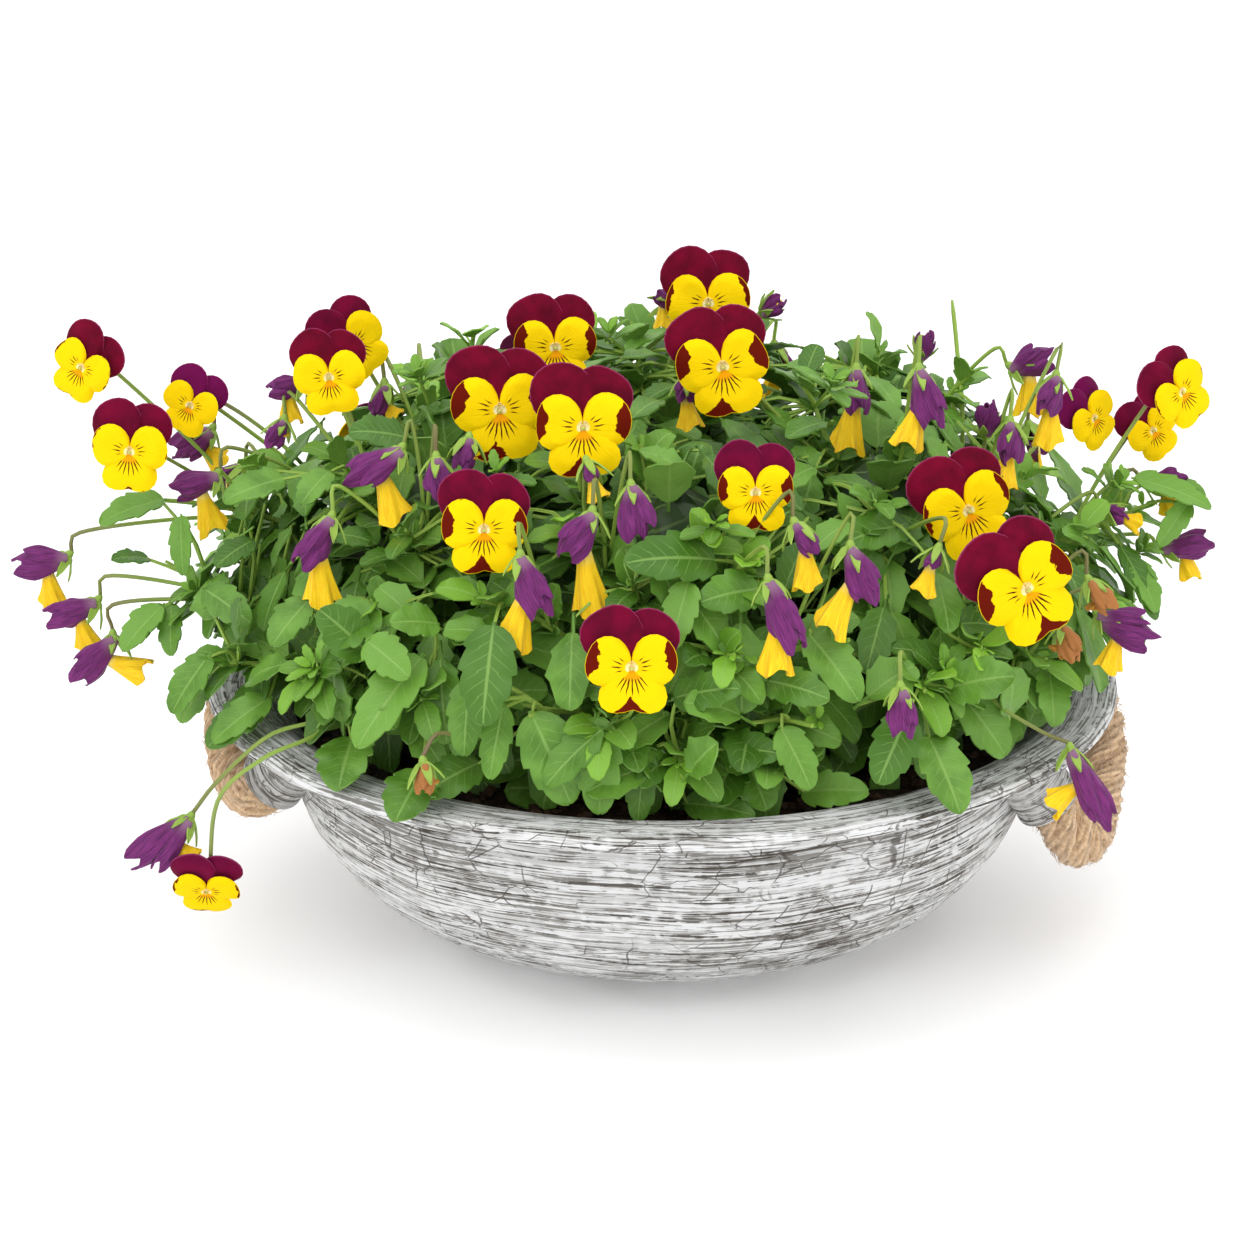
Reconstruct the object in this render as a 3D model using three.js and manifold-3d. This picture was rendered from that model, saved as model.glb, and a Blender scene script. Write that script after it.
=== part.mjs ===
// A whitewashed bowl of pansies: a low round bowl with a turned-out rim and two rope handles, filled with
// soil, planted with seven plants whose leafy shoots make one mound, with two-coloured blooms standing out.
// Millimetres, +Z up, +X to the right and -Y towards the front. The origin is the middle of the bowl's foot.
import * as THREE from 'three';
import { mergeVertices } from 'three/addons/utils/BufferGeometryUtils.js';
import Module from 'manifold-3d';

const wasm = await Module();
wasm.setup();
const { Manifold, Mesh } = wasm;

// Driving sizes
const RIM_RADIUS = 175;
const RIM_TOP = 99;
const FOOT_RADIUS = 62;
const WALL_TOP_RADIUS = 146.5;
const WALL = 7;
const SOIL_EDGE_HEIGHT = 87;
const SOIL_CROWN_HEIGHT = 92;
const ROUND_STEPS = 36;
const GAP = 0.3;
const SMALLEST_STEP = 0.06;
const ROPE_RADIUS = 10;
const SLEEVE_RADIUS = 12.5;
const SLEEVE_LENGTH = 20;
const CROWN_RADIUS = 7;
const CROWN_DEPTH = 30;
const CROWN_FLARE = 14;
const HEART_RADIUS = 37;
const HEART_HEIGHT = 104;
const HEART_POINTS = 5;
const STEM_RADIUS = 1.6;
const STEM_STEPS = 3;
const STALK_RADIUS = 1;
const CALYX_LENGTH = 4;
const CALYX_BACK = -2.1;
const LEAF_THICKNESS = 0.8;
const PETAL_THICKNESS = 0.7;
const LEAVES_PER_SHOOT = 14;
const LEAVES_IN_THE_SOLID = [5, 9, 12];
const MOUND_MIDDLE = new THREE.Vector3(0, 0, 80);
const UP = new THREE.Vector3(0, 0, 1);
const DEGREE = Math.PI / 180;
const GOLDEN_TURN = Math.PI * (3 - Math.sqrt(5));

// Where the seven plants stand in the soil
const CROWNS = {
  plant_middle: [0, 8],
  plant_front: [0, -90],
  plant_front_right: [80, -46],
  plant_back_right: [80, 46],
  plant_back: [0, 92],
  plant_back_left: [-80, 46],
  plant_front_left: [-80, -46],
};

// Tips of the leafy shoots, front and sides
const SHOOT_TIPS = [
  [-181, -20, 136], [-190, 0, 165], [-129, -112, 135], [-155, 0, 177], [-123, -40, 195],
  [-89, -10, 213], [-72, 20, 226], [-92, -95, 184], [-65, -125, 168], [-165, -70, 124],
  [-37, -110, 192], [-12, 20, 230], [-9, -80, 211], [15, -115, 190], [23, -145, 155],
  [50, -150, 131], [90, -135, 138], [74, -90, 193], [50, -25, 221], [83, 25, 218],
  [87, -55, 205], [119, 15, 212], [140, -25, 185], [156, -40, 166], [186, 0, 163],
  [163, -55, 144], [136, -100, 137], [112, -118, 147], [-23, -150, 129], [5, -150, 117],
  [-47, -148, 134], [43, -146, 113], [-85, -135, 135], [-104, -115, 157], [-13, -130, 177],
  [63, -135, 157], [32, -122, 182], [-37, -75, 211],
];
// Rings of shoots round the back of the mound: how many, how far out, how high
const BACK_RINGS = [[7, 172, 132], [6, 138, 176], [4, 88, 212]];

// Open blooms: middle of the face, width, then yaw, pitch and clockwise roll of the face in degrees
const OPEN_BLOOMS = [
  [[-216, -17, 222], 25, -25, 5, 28], [[-197, -36, 195], 29, -5, 8, 2], [[-178, -5, 204], 22, -12, 8, 22],
  [[-122, -42, 225], 27, -5, 8, -8], [[-115, -16, 231], 26, 15, 8, -35], [[-40, -30, 233], 31, 6, 12, -4],
  [[-59, -68, 220], 36, 0, 12, -4], [[-29, -90, 220], 35, 0, 12, -3], [[-63, -120, 192], 31, 0, 10, 0],
  [[17, 12, 239], 33, 5, 10, -2], [[21, -50, 231], 35, 0, 12, -12], [[31, -112, 203], 27, -3, 10, -3],
  [[-12, -160, 156], 32, 0, 10, -2], [[125, -122, 171], 38, 18, 5, -28], [[107, -92, 190], 34, 12, 8, -20],
  [[193, -15, 212], 26, 30, 8, -38], [[187, 9, 190], 22, 20, 8, -30], [[162, -5, 199], 23, 38, 5, -30],
  [[-168, -95, 45], 25, -5, -30, 5], [[-50, 140, 180], 30, 170, 12, 4], [[84, 134, 166], 32, 155, 10, -6],
  [[14, 160, 150], 31, 182, 8, 3], [[-122, 110, 158], 28, 220, 8, -10],
];
// Folded blooms and buds: where the calyx is, then how far the purple and the yellow petals reach from it
const FOLDED_BLOOMS = [
  [[-229, -5, 143], [-20, -2, -4], [-4, -4, -19]], [[-217, -15, 128], [-19, -2, -6], [-1, -4, -18]],
  [[-209, -25, 117], [-15, -3, -17], [14, -5, -12]], [[-169, -14, 178], [-17, -3, -4], [0, -5, -21]],
  [[-174, 15, 187], [-16, -2, -6], [6, -4, -12]], [[-136, -14, 215], [-12, -2, -4], [-3, -4, -15]],
  [[-104, -15, 213], [-4, -3, -11], [5, -4, -11]], [[-95, -78, 207], [-21, -4, -9], [0, -7, -25]],
  [[-119, -90, 185], [-11, -6, -16], [-3, -5, -31]], [[-26, -122, 197], [-9, -4, -15], [1, -6, -36]],
  [[-50, -134, 185], [7, -5, -20], [-4, -5, -31]], [[-12, -114, 204], [0, -8, -18], [3, -5, -9]],
  [[45, -122, 193], [7, -4, -9], [4, -7, -21]], [[63, -130, 187], [7, -5, -19], [-8, -7, -28]],
  [[35, -142, 179], [9, -6, -23], [2, -6, -31]], [[70, -38, 225], [0, -5, -15], [-3, -6, -29]],
  [[91, -60, 231], [5, -6, -20], [-5, -8, -26]], [[100, 30, 215], [1, -1, 11], [0, -3, 5]],
  [[8, -38, 222], [-1, -5, -8], [2, -5, -17]], [[2, 40, 231], [-5, 0, 7], [-1, -4, -9]],
  [[40, 40, 229], [7, 0, 7], [5, -3, 2]], [[119, -30, 202], [-1, -2, 13], [1, -2, 6]],
  [[134, 10, 214], [16, -2, 6], [5, -5, -18]], [[145, -22, 218], [-4, -5, -13], [-2, -6, -25]],
  [[127, -38, 205], [1, -5, -14], [-3, -6, -23]], [[186, -2, 172], [14, -2, 5], [8, -3, -11]],
  [[167, -27, 169], [6, -4, -4], [12, -4, -4]], [[193, -5, 147], [18, -2, 4], [9, -3, -12]],
  [[157, -85, 147], [20, -6, -9], [2, -6, -19]], [[143, -124, 110], [14, -8, -26], [-9, -9, -17]],
  [[-175, -88, 69], [-23, -5, -14], [4, -6, -15]], [[80, -150, 143], [0, -3, -16], [1, -4, -10]],
  [[94, -114, 181], [-3, -4, -5], [-5, -6, -14]], [[-27, -102, 209], [2, -5, -5], [4, -6, -11]],
  [[-70, -80, 211], [-3, -5, -10], [1, -4, -6]], [[-81, -87, 206], [-1, -5, -13], [2, -4, -8]],
  [[-142, -22, 201], [-5, -4, -9], [1, -3, -5]], [[-83, -157, 118], [0, -4, -9], [3, -3, -6]],
  [[141, -102, 148], [3, -5, -11], [-3, -4, -7]], [[152, -92, 162], [8, -4, -9], [1, -4, -9]],
  [[-100, 128, 180], [-4, 6, -18], [3, 8, -27]], [[48, 138, 188], [6, 7, -17], [-3, 7, -28]],
  [[150, 88, 168], [9, 6, -16], [2, 7, -24]], [[-168, 62, 158], [-15, 5, -10], [-2, 6, -20]],
];
// Points that a stalk passes on its way over the rim, by the bloom that it carries
const OPEN_STALK_VIA = { 18: [[-122, -100, 112], [-143, -112, 104], [-160, -112, 88]] };
const FOLDED_STALK_VIA = {
  30: [[-118, -92, 114], [-142, -97, 107], [-162, -94, 88]],
  29: [[116, -110, 126], [132, -118, 117]],
  33: [[-28, -99, 190], [-28.5, -102, 204]],
  34: [[-68, -76, 188], [-71, -81, 204]],
  37: [[-70, -138, 124], [-79, -150, 128]],
};
// Large leaves that show at the front, and a few at the sides: foot, tip and width
const LARGE_LEAVES = [
  [[-84, -128, 149], [-107, -150, 127], 17], [[-59, -142, 166], [-63, -160, 138], 19],
  [[-68, -138, 144], [-70, -150, 122], 13], [[-47, -146, 135], [-33, -158, 108], 19],
  [[-56, -142, 136], [-61, -154, 115], 11], [[-111, -112, 112], [-115, -135, 104], 20],
  [[-64, -136, 112], [-84, -150, 108], 15], [[-84, -140, 110], [-93, -163, 104], 18],
  [[-166, -70, 128], [-180, -82, 112], 14], [[-145, -80, 114], [-166, -92, 103], 15],
  [[-103, -122, 146], [-119, -130, 168], 17], [[-105, -112, 140], [-94, -122, 163], 11],
  [[-79, -125, 159], [-94, -137, 166], 13], [[8, -130, 177], [1, -147, 160], 12],
  [[33, -125, 172], [12, -137, 174], 16], [[2, -145, 139], [24, -157, 150], 14],
  [[-24, -146, 134], [-23, -158, 104], 16], [[-7, -144, 120], [-10, -152, 98], 11],
  [[6, -135, 96], [30, -149, 100], 12], [[18, -140, 118], [38, -152, 124], 14],
  [[28, -132, 112], [35, -148, 101], 16], [[39, -145, 129], [50, -154, 111], 13],
  [[47, -130, 98], [70, -140, 105], 13], [[49, -128, 157], [66, -147, 142], 16],
  [[33, -140, 144], [55, -154, 145], 14], [[91, -135, 122], [101, -160, 106], 17],
  [[84, -140, 132], [73, -153, 113], 16], [[98, -125, 135], [120, -137, 147], 17],
  [[103, -110, 129], [121, -119, 110], 18], [[138, -92, 131], [139, -109, 117], 13],
  [[88, -82, 182], [62, -104, 185], 15], [[172, -20, 154], [187, -32, 131], 11],
  [[177, -10, 177], [207, -17, 171], 11], [[18, -118, 180], [-13, -140, 191], 19],
  [[-189, -5, 167], [-213, -16, 164], 13], [[-188, -30, 133], [-203, -41, 121], 13],
];
// Routes of the two rope handles, from the front sleeve round to the rear one
const ROPE_ROUTES = {
  rope_handle_right: [
    [145, -59, 65], [149, -57.5, 59.5], [152.5, -55.5, 53], [155.5, -52, 47], [159, -46, 43.5],
    [162.5, -38.5, 43], [165.5, -30, 46], [168, -21.5, 51.5], [170, -13, 58], [171.5, -4, 64.5],
    [172, 5.5, 70], [171.5, 15.5, 74], [169, 25, 76], [165.5, 33, 76], [160.5, 40, 73.5], [155, 45, 69.5],
  ],
  rope_handle_left: [
    [-149, -41, 66], [-153, -38.5, 61.5], [-157, -34, 59], [-160.5, -28, 58.5], [-163.5, -21, 60],
    [-166, -13, 62.5], [-168, -4.5, 66], [-169.5, 4.5, 69.5], [-170, 13.5, 72.5], [-169.5, 22.5, 75],
    [-168, 31, 76.5], [-165, 39, 76.5], [-161, 46, 75], [-156, 52, 72], [-150.5, 56, 68],
  ],
};

// Colours, roughness and metalness as the photograph shows them
const PAINT = new THREE.MeshStandardMaterial({ color: 0xd9d8d4, roughness: 0.8, metalness: 0 });
const SOIL = new THREE.MeshStandardMaterial({ color: 0x2a1d16, roughness: 0.95, metalness: 0 });
const ROPE = new THREE.MeshStandardMaterial({ color: 0xb98f63, roughness: 0.95, metalness: 0 });
const LEAF = new THREE.MeshStandardMaterial({ color: 0x3f7a35, roughness: 0.6, metalness: 0 });
const MAROON = new THREE.MeshStandardMaterial({ color: 0x5d0524, roughness: 0.7, metalness: 0 });
const YELLOW = new THREE.MeshStandardMaterial({ color: 0xf7cf08, roughness: 0.6, metalness: 0 });

const vector = (point) => new THREE.Vector3(...point);

// A repeatable value from 0 to 1 for item a, number b and use c.
function chance(a, b, c) {
  const wave = Math.sin(a * 12.9898 + b * 78.233 + c * 37.719) * 43758.5453;
  return wave - Math.floor(wave);
}

// Six times the volume inside a list of corners and triangles, negative where the faces point in.
function signedVolume(corners, triangles) {
  let total = 0;
  for (let t = 0; t < triangles.length; t += 3) {
    const [a, b, c] = [0, 1, 2].map((k) => new THREE.Vector3().fromArray(corners, triangles[t + k] * 3));
    total += a.dot(b.cross(c));
  }
  return total;
}

// A three.js geometry as a closed solid, with shared corners merged and its faces turned out.
function solid(geometry) {
  geometry.deleteAttribute('normal');
  geometry.deleteAttribute('uv');
  const merged = mergeVertices(geometry, 1e-4);
  const corners = new Float32Array(merged.attributes.position.array);
  const kept = [];
  const index = merged.index.array;
  for (let t = 0; t < index.length; t += 3) {
    const [a, b, c] = [index[t], index[t + 1], index[t + 2]];
    if (a !== b && b !== c && c !== a) {
      kept.push(a, b, c);
    }
  }
  if (signedVolume(corners, kept) < 0) {
    kept.reverse();
  }
  return new Manifold(new Mesh({ numProp: 3, vertProperties: corners, triVerts: new Uint32Array(kept) }));
}

// The largest connected body of a solid: loose scraps are dropped, sealed hollows filled and slivers closed.
function wholeBody(shape) {
  const bodies = shape.asOriginal().simplify(SMALLEST_STEP).decompose();
  bodies.sort((a, b) => b.volume() - a.volume());
  return bodies[0];
}

// A named mesh from a solid.
function piece(name, shape, material) {
  const mesh = wholeBody(shape).getMesh();
  const geometry = new THREE.BufferGeometry();
  geometry.setAttribute('position', new THREE.BufferAttribute(new Float32Array(mesh.vertProperties), 3));
  geometry.setIndex(new THREE.BufferAttribute(new Uint32Array(mesh.triVerts), 1));
  geometry.computeVertexNormals();
  const made = new THREE.Mesh(geometry, material);
  made.name = name;
  return made;
}

// A solid of revolution about Z from [radius, height] corners.
function turned(profile) {
  const corners = profile.map(([radius, height]) => new THREE.Vector2(radius, height));
  return solid(new THREE.LatheGeometry(corners, ROUND_STEPS).rotateX(Math.PI / 2));
}

// An upright cylinder that stands on a height.
function post(x, y, foot, height, topRadius, footRadius, sides) {
  const geometry = new THREE.CylinderGeometry(topRadius, footRadius, height, sides).rotateX(Math.PI / 2);
  return solid(geometry.translate(x, y, foot + height / 2));
}

// A tube of a regular section along a smooth curve.
function tube(curve, radius, sides, steps) {
  const section = new THREE.Shape();
  for (let k = 0; k < sides; k += 1) {
    const turn = (2 * Math.PI * k) / sides;
    const corner = [radius * Math.cos(turn), radius * Math.sin(turn)];
    if (k === 0) {
      section.moveTo(...corner);
    } else {
      section.lineTo(...corner);
    }
  }
  section.closePath();
  const settings = { steps, bevelEnabled: false, extrudePath: curve, curveSegments: 1 };
  return solid(new THREE.ExtrudeGeometry(section, settings));
}

// A thin closed sheet: rows of points and their normals, triangles alike on both faces.
function sheet(rows, normals, thickness) {
  const across = rows[0].length;
  const count = rows.length * across;
  const corners = [];
  for (const side of [0.5, -0.5]) {
    rows.forEach((row, i) => row.forEach((point, j) => {
      corners.push(...point.clone().addScaledVector(normals[i][j], thickness * side));
    }));
  }
  const index = [];
  const wall = (a, b) => index.push(a, a + count, b + count, a, b + count, b);
  for (let i = 0; i + 1 < rows.length; i += 1) {
    for (let j = 0; j + 1 < across; j += 1) {
      const [a, b, c, d] = [0, 1, across, across + 1].map((step) => i * across + j + step);
      index.push(a, b, d, a, d, c);
      index.push(a + count, d + count, b + count, a + count, c + count, d + count);
    }
    wall((i + 1) * across, i * across);
    wall((i + 1) * across - 1, (i + 2) * across - 1);
  }
  const last = (rows.length - 1) * across;
  for (let j = 0; j + 1 < across; j += 1) {
    wall(j, j + 1);
    wall(last + j + 1, last + j);
  }
  const geometry = new THREE.BufferGeometry();
  geometry.setAttribute('position', new THREE.Float32BufferAttribute(corners, 3));
  geometry.setIndex(index);
  return solid(geometry);
}

// How wide a leaf is along its length, as parts of its widest: teeth step in after each shoulder.
const SMALL_LEAF = [[0, 0], [0.42, 1], [0.54, 0.76], [1, 0]];
const LARGE_LEAF = [[0.28, 0.84], [0.36, 0.7], [0.6, 1], [0.7, 0.74], [1, 0]];

// A toothed leaf blade from its foot, with an optional leaf stalk that reaches back to its stem.
function leafBlade(leaf, outline, stemPoint = null) {
  const side = new THREE.Vector3().crossVectors(leaf.direction, leaf.up).normalize();
  const rows = [];
  const normals = [];
  const addRow = (middle, halfWidth, tangent) => {
    const normal = new THREE.Vector3().crossVectors(side, tangent).normalize();
    rows.push([
      middle.clone().addScaledVector(side, -halfWidth),
      middle.clone().addScaledVector(side, halfWidth),
    ]);
    normals.push([normal, normal]);
  };
  if (stemPoint) {
    addRow(stemPoint, 0, leaf.foot.clone().sub(stemPoint));
  }
  for (const [along, wide] of outline) {
    const middle = leaf.foot.clone().addScaledVector(leaf.direction, leaf.length * along);
    middle.addScaledVector(UP, -leaf.length * leaf.droop * along * along);
    const tangent = leaf.direction.clone().addScaledVector(UP, -2 * leaf.droop * along);
    addRow(middle, (leaf.width * wide) / 2, tangent);
  }
  return sheet(rows, normals, LEAF_THICKNESS);
}

// Turns a wished-for direction so that it stands square to another one.
function squared(wish, direction) {
  return wish.clone().addScaledVector(direction, -wish.dot(direction)).normalize();
}

// The point a part of the way along a stem, in the middle of its straight faceted lengths.
function onStem(curve, part) {
  const corners = curve.getSpacedPoints(STEM_STEPS);
  const k = Math.min(Math.floor(part * STEM_STEPS), STEM_STEPS - 1);
  return corners[k].lerp(corners[k + 1], part * STEM_STEPS - k);
}

// Leaf number i of shoot number s: it springs from the stem and turns out to the light.
function shootLeaf(curve, s, i) {
  const age = i / (LEAVES_PER_SHOOT - 1);
  const along = 0.3 + 0.68 * Math.pow(age, 0.85);
  const foot = onStem(curve, along);
  const tangent = curve.getTangentAt(along);
  const first = new THREE.Vector3().crossVectors(tangent, new THREE.Vector3(1, 0, 0.01)).normalize();
  const second = new THREE.Vector3().crossVectors(tangent, first);
  const turn = s * 1.7 + i * GOLDEN_TURN;
  const spread = first.multiplyScalar(Math.cos(turn)).addScaledVector(second, Math.sin(turn));
  const outward = foot.clone().sub(MOUND_MIDDLE).normalize();
  const lift = 0.3 + 0.5 * age + 0.2 * chance(s, i, 3);
  const direction = spread.addScaledVector(tangent, lift).normalize().addScaledVector(outward, 0.4).normalize();
  const up = squared(UP.clone().multiplyScalar(0.7).addScaledVector(outward, 0.6), direction);
  const length = (38 - 21 * age) * (0.85 + 0.3 * chance(s, i, 1));
  const width = length * (0.4 + 0.08 * chance(s, i, 2));
  return { foot, direction, up, length, width, droop: 0.12 + 0.2 * chance(s, i, 4) };
}

// A leaf given by its foot, tip and width.
function largeLeaf([foot, tip, width]) {
  const start = vector(foot);
  const reach = vector(tip).sub(start);
  const length = reach.length();
  const direction = reach.normalize();
  const outward = start.clone().sub(MOUND_MIDDLE).normalize();
  const up = squared(UP.clone().multiplyScalar(0.7).addScaledVector(outward, 0.8), direction);
  return { foot: start, direction, up, length, width, droop: 0.08 };
}

// The three directions of a bloom's face: right and up as seen from the front, and straight out.
function faceOf([middle, width, yaw, pitch, roll]) {
  const [turn, tilt, spin] = [yaw * DEGREE, pitch * DEGREE, roll * DEGREE];
  const out = new THREE.Vector3(
    Math.sin(turn) * Math.cos(tilt), -Math.cos(turn) * Math.cos(tilt), Math.sin(tilt));
  const flat = new THREE.Vector3().crossVectors(UP, out).normalize();
  const rise = new THREE.Vector3().crossVectors(out, flat);
  const right = flat.clone().multiplyScalar(Math.cos(spin)).addScaledVector(rise, -Math.sin(spin));
  const up = rise.clone().multiplyScalar(Math.cos(spin)).addScaledVector(flat, Math.sin(spin));
  return { middle: vector(middle), width, right, up, out };
}

// A point of a bloom from its own right, up and out distances.
function onFace(face, x, y, z) {
  return face.middle.clone()
    .addScaledVector(face.right, x).addScaledVector(face.up, y).addScaledVector(face.out, z);
}

// Rows of a petal, as parts of its length and of its width to each side
const PETAL_ROWS = [[0.36, 0.44], [0.76, 0.48], [1, 0.24]];
const SHORT_PETAL_ROWS = [[0.5, 0.5], [1, 0.3]];
// Petals by their angle from the top, length and width in bloom widths, and how they step forward and lean
const UPPER_PETALS = [
  { angle: -29, long: 0.68, wide: 0.67, forward: 0.65, lean: -0.1, outline: PETAL_ROWS },
  { angle: 32, long: 0.63, wide: 0.62, forward: -0.55, lean: -0.12, outline: PETAL_ROWS },
];
const LOWER_PETALS = [
  { angle: -84, long: 0.5, wide: 0.44, forward: 0, lean: 0.02, outline: SHORT_PETAL_ROWS },
  { angle: 84, long: 0.5, wide: 0.44, forward: 0, lean: 0.02, outline: SHORT_PETAL_ROWS },
  { angle: 180, long: 0.5, wide: 0.64, forward: 0.9, lean: 0.1, outline: PETAL_ROWS },
];
const UPPER_LAYER_FRONT = -1.05;
const LOWER_LAYER_FRONT = 0.3;
const THROAT_RADIUS = 2;

// One layer of a bloom: rounded petals that spring from a small throat, as a single closed sheet. Petals that
// overlap stay clear of each other from the throat on, because they step forward there already.
function petalLayer(face, petals, front) {
  const turns = petals.map(({ angle }) => angle * DEGREE);
  const points = [];
  const triangles = [];
  const rim = [];
  const at = (turn, x, y, z) => points.push(onFace(face, x * Math.cos(turn) + y * Math.sin(turn),
    y * Math.cos(turn) - x * Math.sin(turn), z)) - 1;
  const throat = petals.map(({ forward }, k) => (
    [-1, 1].map((side) => at(turns[k], side * 0.7, THROAT_RADIUS, front + 0.75 * forward))));
  petals.forEach(({ long, wide, forward, lean, outline }, k) => {
    let [left, right] = throat[k];
    const lefts = [left];
    const rights = [right];
    for (const [along, half] of outline) {
      const y = along * long * face.width;
      const z = front + forward * (0.75 + 0.25 * along) + lean * y;
      const next = [-1, 1].map((side) => at(turns[k], side * half * wide * face.width, y, z));
      triangles.push([left, right, next[1]], [left, next[1], next[0]]);
      [left, right] = next;
      lefts.push(left);
      rights.push(right);
    }
    rim.push(...lefts, ...rights.reverse());
  });
  const ring = throat.flat();
  for (let k = 1; k + 1 < ring.length; k += 1) {
    triangles.push([ring[0], ring[k + 1], ring[k]]);
  }
  return closedSheet(points, triangles, rim, face.out);
}

// A closed sheet from flat points, their triangles, the rim in order and one thickness direction.
function closedSheet(points, triangles, rim, out) {
  const count = points.length;
  const corners = [0.5, -0.5].flatMap((side) => points.flatMap((point) => (
    point.clone().addScaledVector(out, PETAL_THICKNESS * side).toArray())));
  const index = triangles.flatMap(([a, b, c]) => [a, b, c, a + count, c + count, b + count]);
  rim.forEach((a, k) => {
    const b = rim[(k + 1) % rim.length];
    index.push(a, b, b + count, a, b + count, a + count);
  });
  const geometry = new THREE.BufferGeometry();
  geometry.setAttribute('position', new THREE.Float32BufferAttribute(corners, 3));
  geometry.setIndex(index);
  return solid(geometry);
}

// A three-sided flower stalk along a curve that widens into its calyx, square to the way this looks.
function stalkWithCalyx(curve, steps, end, out, calyxRadius) {
  const { normals, binormals } = curve.computeFrenetFrames(steps);
  const first = squared(normals[steps], out);
  const rings = normals.map((normal, i) => [curve.getPoint(i / steps), normal, binormals[i], STALK_RADIUS]);
  rings.push([end, first, new THREE.Vector3().crossVectors(out, first), calyxRadius]);
  const corners = [];
  const index = [0, 2, 1];
  rings.forEach(([middle, across, beside, radius], i) => {
    for (let k = 0; k < 3; k += 1) {
      const turn = (2 * Math.PI * k) / 3;
      corners.push(...middle.clone().addScaledVector(across, radius * Math.cos(turn))
        .addScaledVector(beside, radius * Math.sin(turn)).toArray());
      if (i > 0) {
        const [a, b] = [3 * i - 3 + k, 3 * i - 3 + ((k + 1) % 3)];
        index.push(a, b, b + 3, a, b + 3, a + 3);
      }
    }
  });
  const last = 3 * rings.length - 3;
  index.push(last, last + 1, last + 2);
  const geometry = new THREE.BufferGeometry();
  geometry.setAttribute('position', new THREE.Float32BufferAttribute(corners, 3));
  geometry.setIndex(index);
  return solid(geometry);
}

// A folded petal: a long faceted lobe from the calyx to its tip.
function lobe(from, reach, girth) {
  const length = reach.length();
  const geometry = new THREE.SphereGeometry(1, 3, 2).rotateX(Math.PI / 2);
  geometry.scale(girth / 2, girth / 2.4, length / 2);
  geometry.applyQuaternion(new THREE.Quaternion().setFromUnitVectors(UP, reach.clone().normalize()));
  const middle = from.clone().addScaledVector(reach, 0.5);
  return solid(geometry.translate(middle.x, middle.y, middle.z));
}

// All the solids placed so far, each with its owner, so that later ones keep clear of other owners.
const placed = [];

// True where two boxes come within a margin of each other.
function boxesMeet(a, b, margin) {
  return [0, 1, 2].every((k) => a.min[k] - margin < b.max[k] && b.min[k] - margin < a.max[k]);
}

// What a solid comes too close to: any other owner's solid, and its own plant's unless that carries it.
function inTheWay(shape, owner, mayTouch) {
  const box = shape.boundingBox();
  return placed.filter((other) => {
    const own = other.owner === owner;
    if ((own && mayTouch(other)) || !boxesMeet(box, other.box, own ? 0 : GAP)) {
      return false;
    }
    return shape.minGap(other.shape, 1) < (own ? 0.05 : GAP * 0.98);
  }).map((other) => other.owner);
}

// Keeps a solid under its owner's name, with what it is: a heart, stem, stalk, petal or leaf.
function keep(owner, shape, kind, shoot = null) {
  placed.push({ owner, shape, kind, shoot, box: shape.boundingBox() });
}

// Keeps the first of several versions that nothing is in the way of, and says whether there was one.
function keepFirstClear(owner, versions, kind, mayTouch, shoot = null) {
  for (const version of versions) {
    const shape = version();
    if (inTheWay(shape, owner, mayTouch).length === 0) {
      keep(owner, shape, kind, shoot);
      return true;
    }
  }
  return false;
}

const anything = () => true;

// Tiers of the leafy heart of a plant, as parts of its height and radius
const HEART_TIERS = [[0.18, 0.8], [0.47, 1.04], [0.78, 0.78]];

// The inside of the bowl, from the middle of its floor to the inner edge of the rim
const INSIDE = [
  [0, WALL], [84, 11.5], [122, 34.5], [136.5, 62], [143, 88], [157.5, 98.6],
];

// The bowl with its four rope sleeves, in one casting.
function bowl() {
  const outside = [
    [0, 0], [FOOT_RADIUS, 0], [84, 4.5], [102, 11], [119, 21.5], [135, 40], [143, 60],
    [WALL_TOP_RADIUS, 84], [154, 90], [RIM_RADIUS - 1.5, 93.5], [RIM_RADIUS, 96], [168, RIM_TOP],
    [157.5, 98.6], [0, 98.6],
  ];
  let body = turned(outside);
  for (const points of Object.values(ROPE_ROUTES)) {
    const route = new THREE.CatmullRomCurve3(points.map(vector));
    for (const part of [0, 1]) {
      const face = route.getPointAt(part);
      const direction = route.getTangentAt(part).multiplyScalar(1 - 2 * part);
      const end = face.clone().addScaledVector(direction, -GAP);
      const start = end.clone().addScaledVector(direction, -SLEEVE_LENGTH);
      body = body.add(tube(new THREE.LineCurve3(start, end), SLEEVE_RADIUS, 10, 1));
    }
  }
  return body.subtract(turned([...INSIDE, [157.5, 120], [0, 120]]));
}

// The soil, a little clear of the bowl, with a plain hole for each plant's crown.
function soil() {
  const clear = 1.5 * GAP;
  const below = INSIDE.slice(1, -2).map(([radius, height]) => [radius - clear, height + clear]);
  const body = turned([
    [0, WALL + GAP], ...below, [142, SOIL_EDGE_HEIGHT], [100, SOIL_CROWN_HEIGHT - 2], [0, SOIL_CROWN_HEIGHT],
  ]);
  const holes = Object.values(CROWNS).map(([x, y]) => post(x, y, SOIL_CROWN_HEIGHT - CROWN_DEPTH - GAP,
    CROWN_DEPTH + 20, CROWN_RADIUS + 0.8, CROWN_RADIUS + 0.8, 7));
  return body.subtract(Manifold.union(holes));
}

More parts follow.
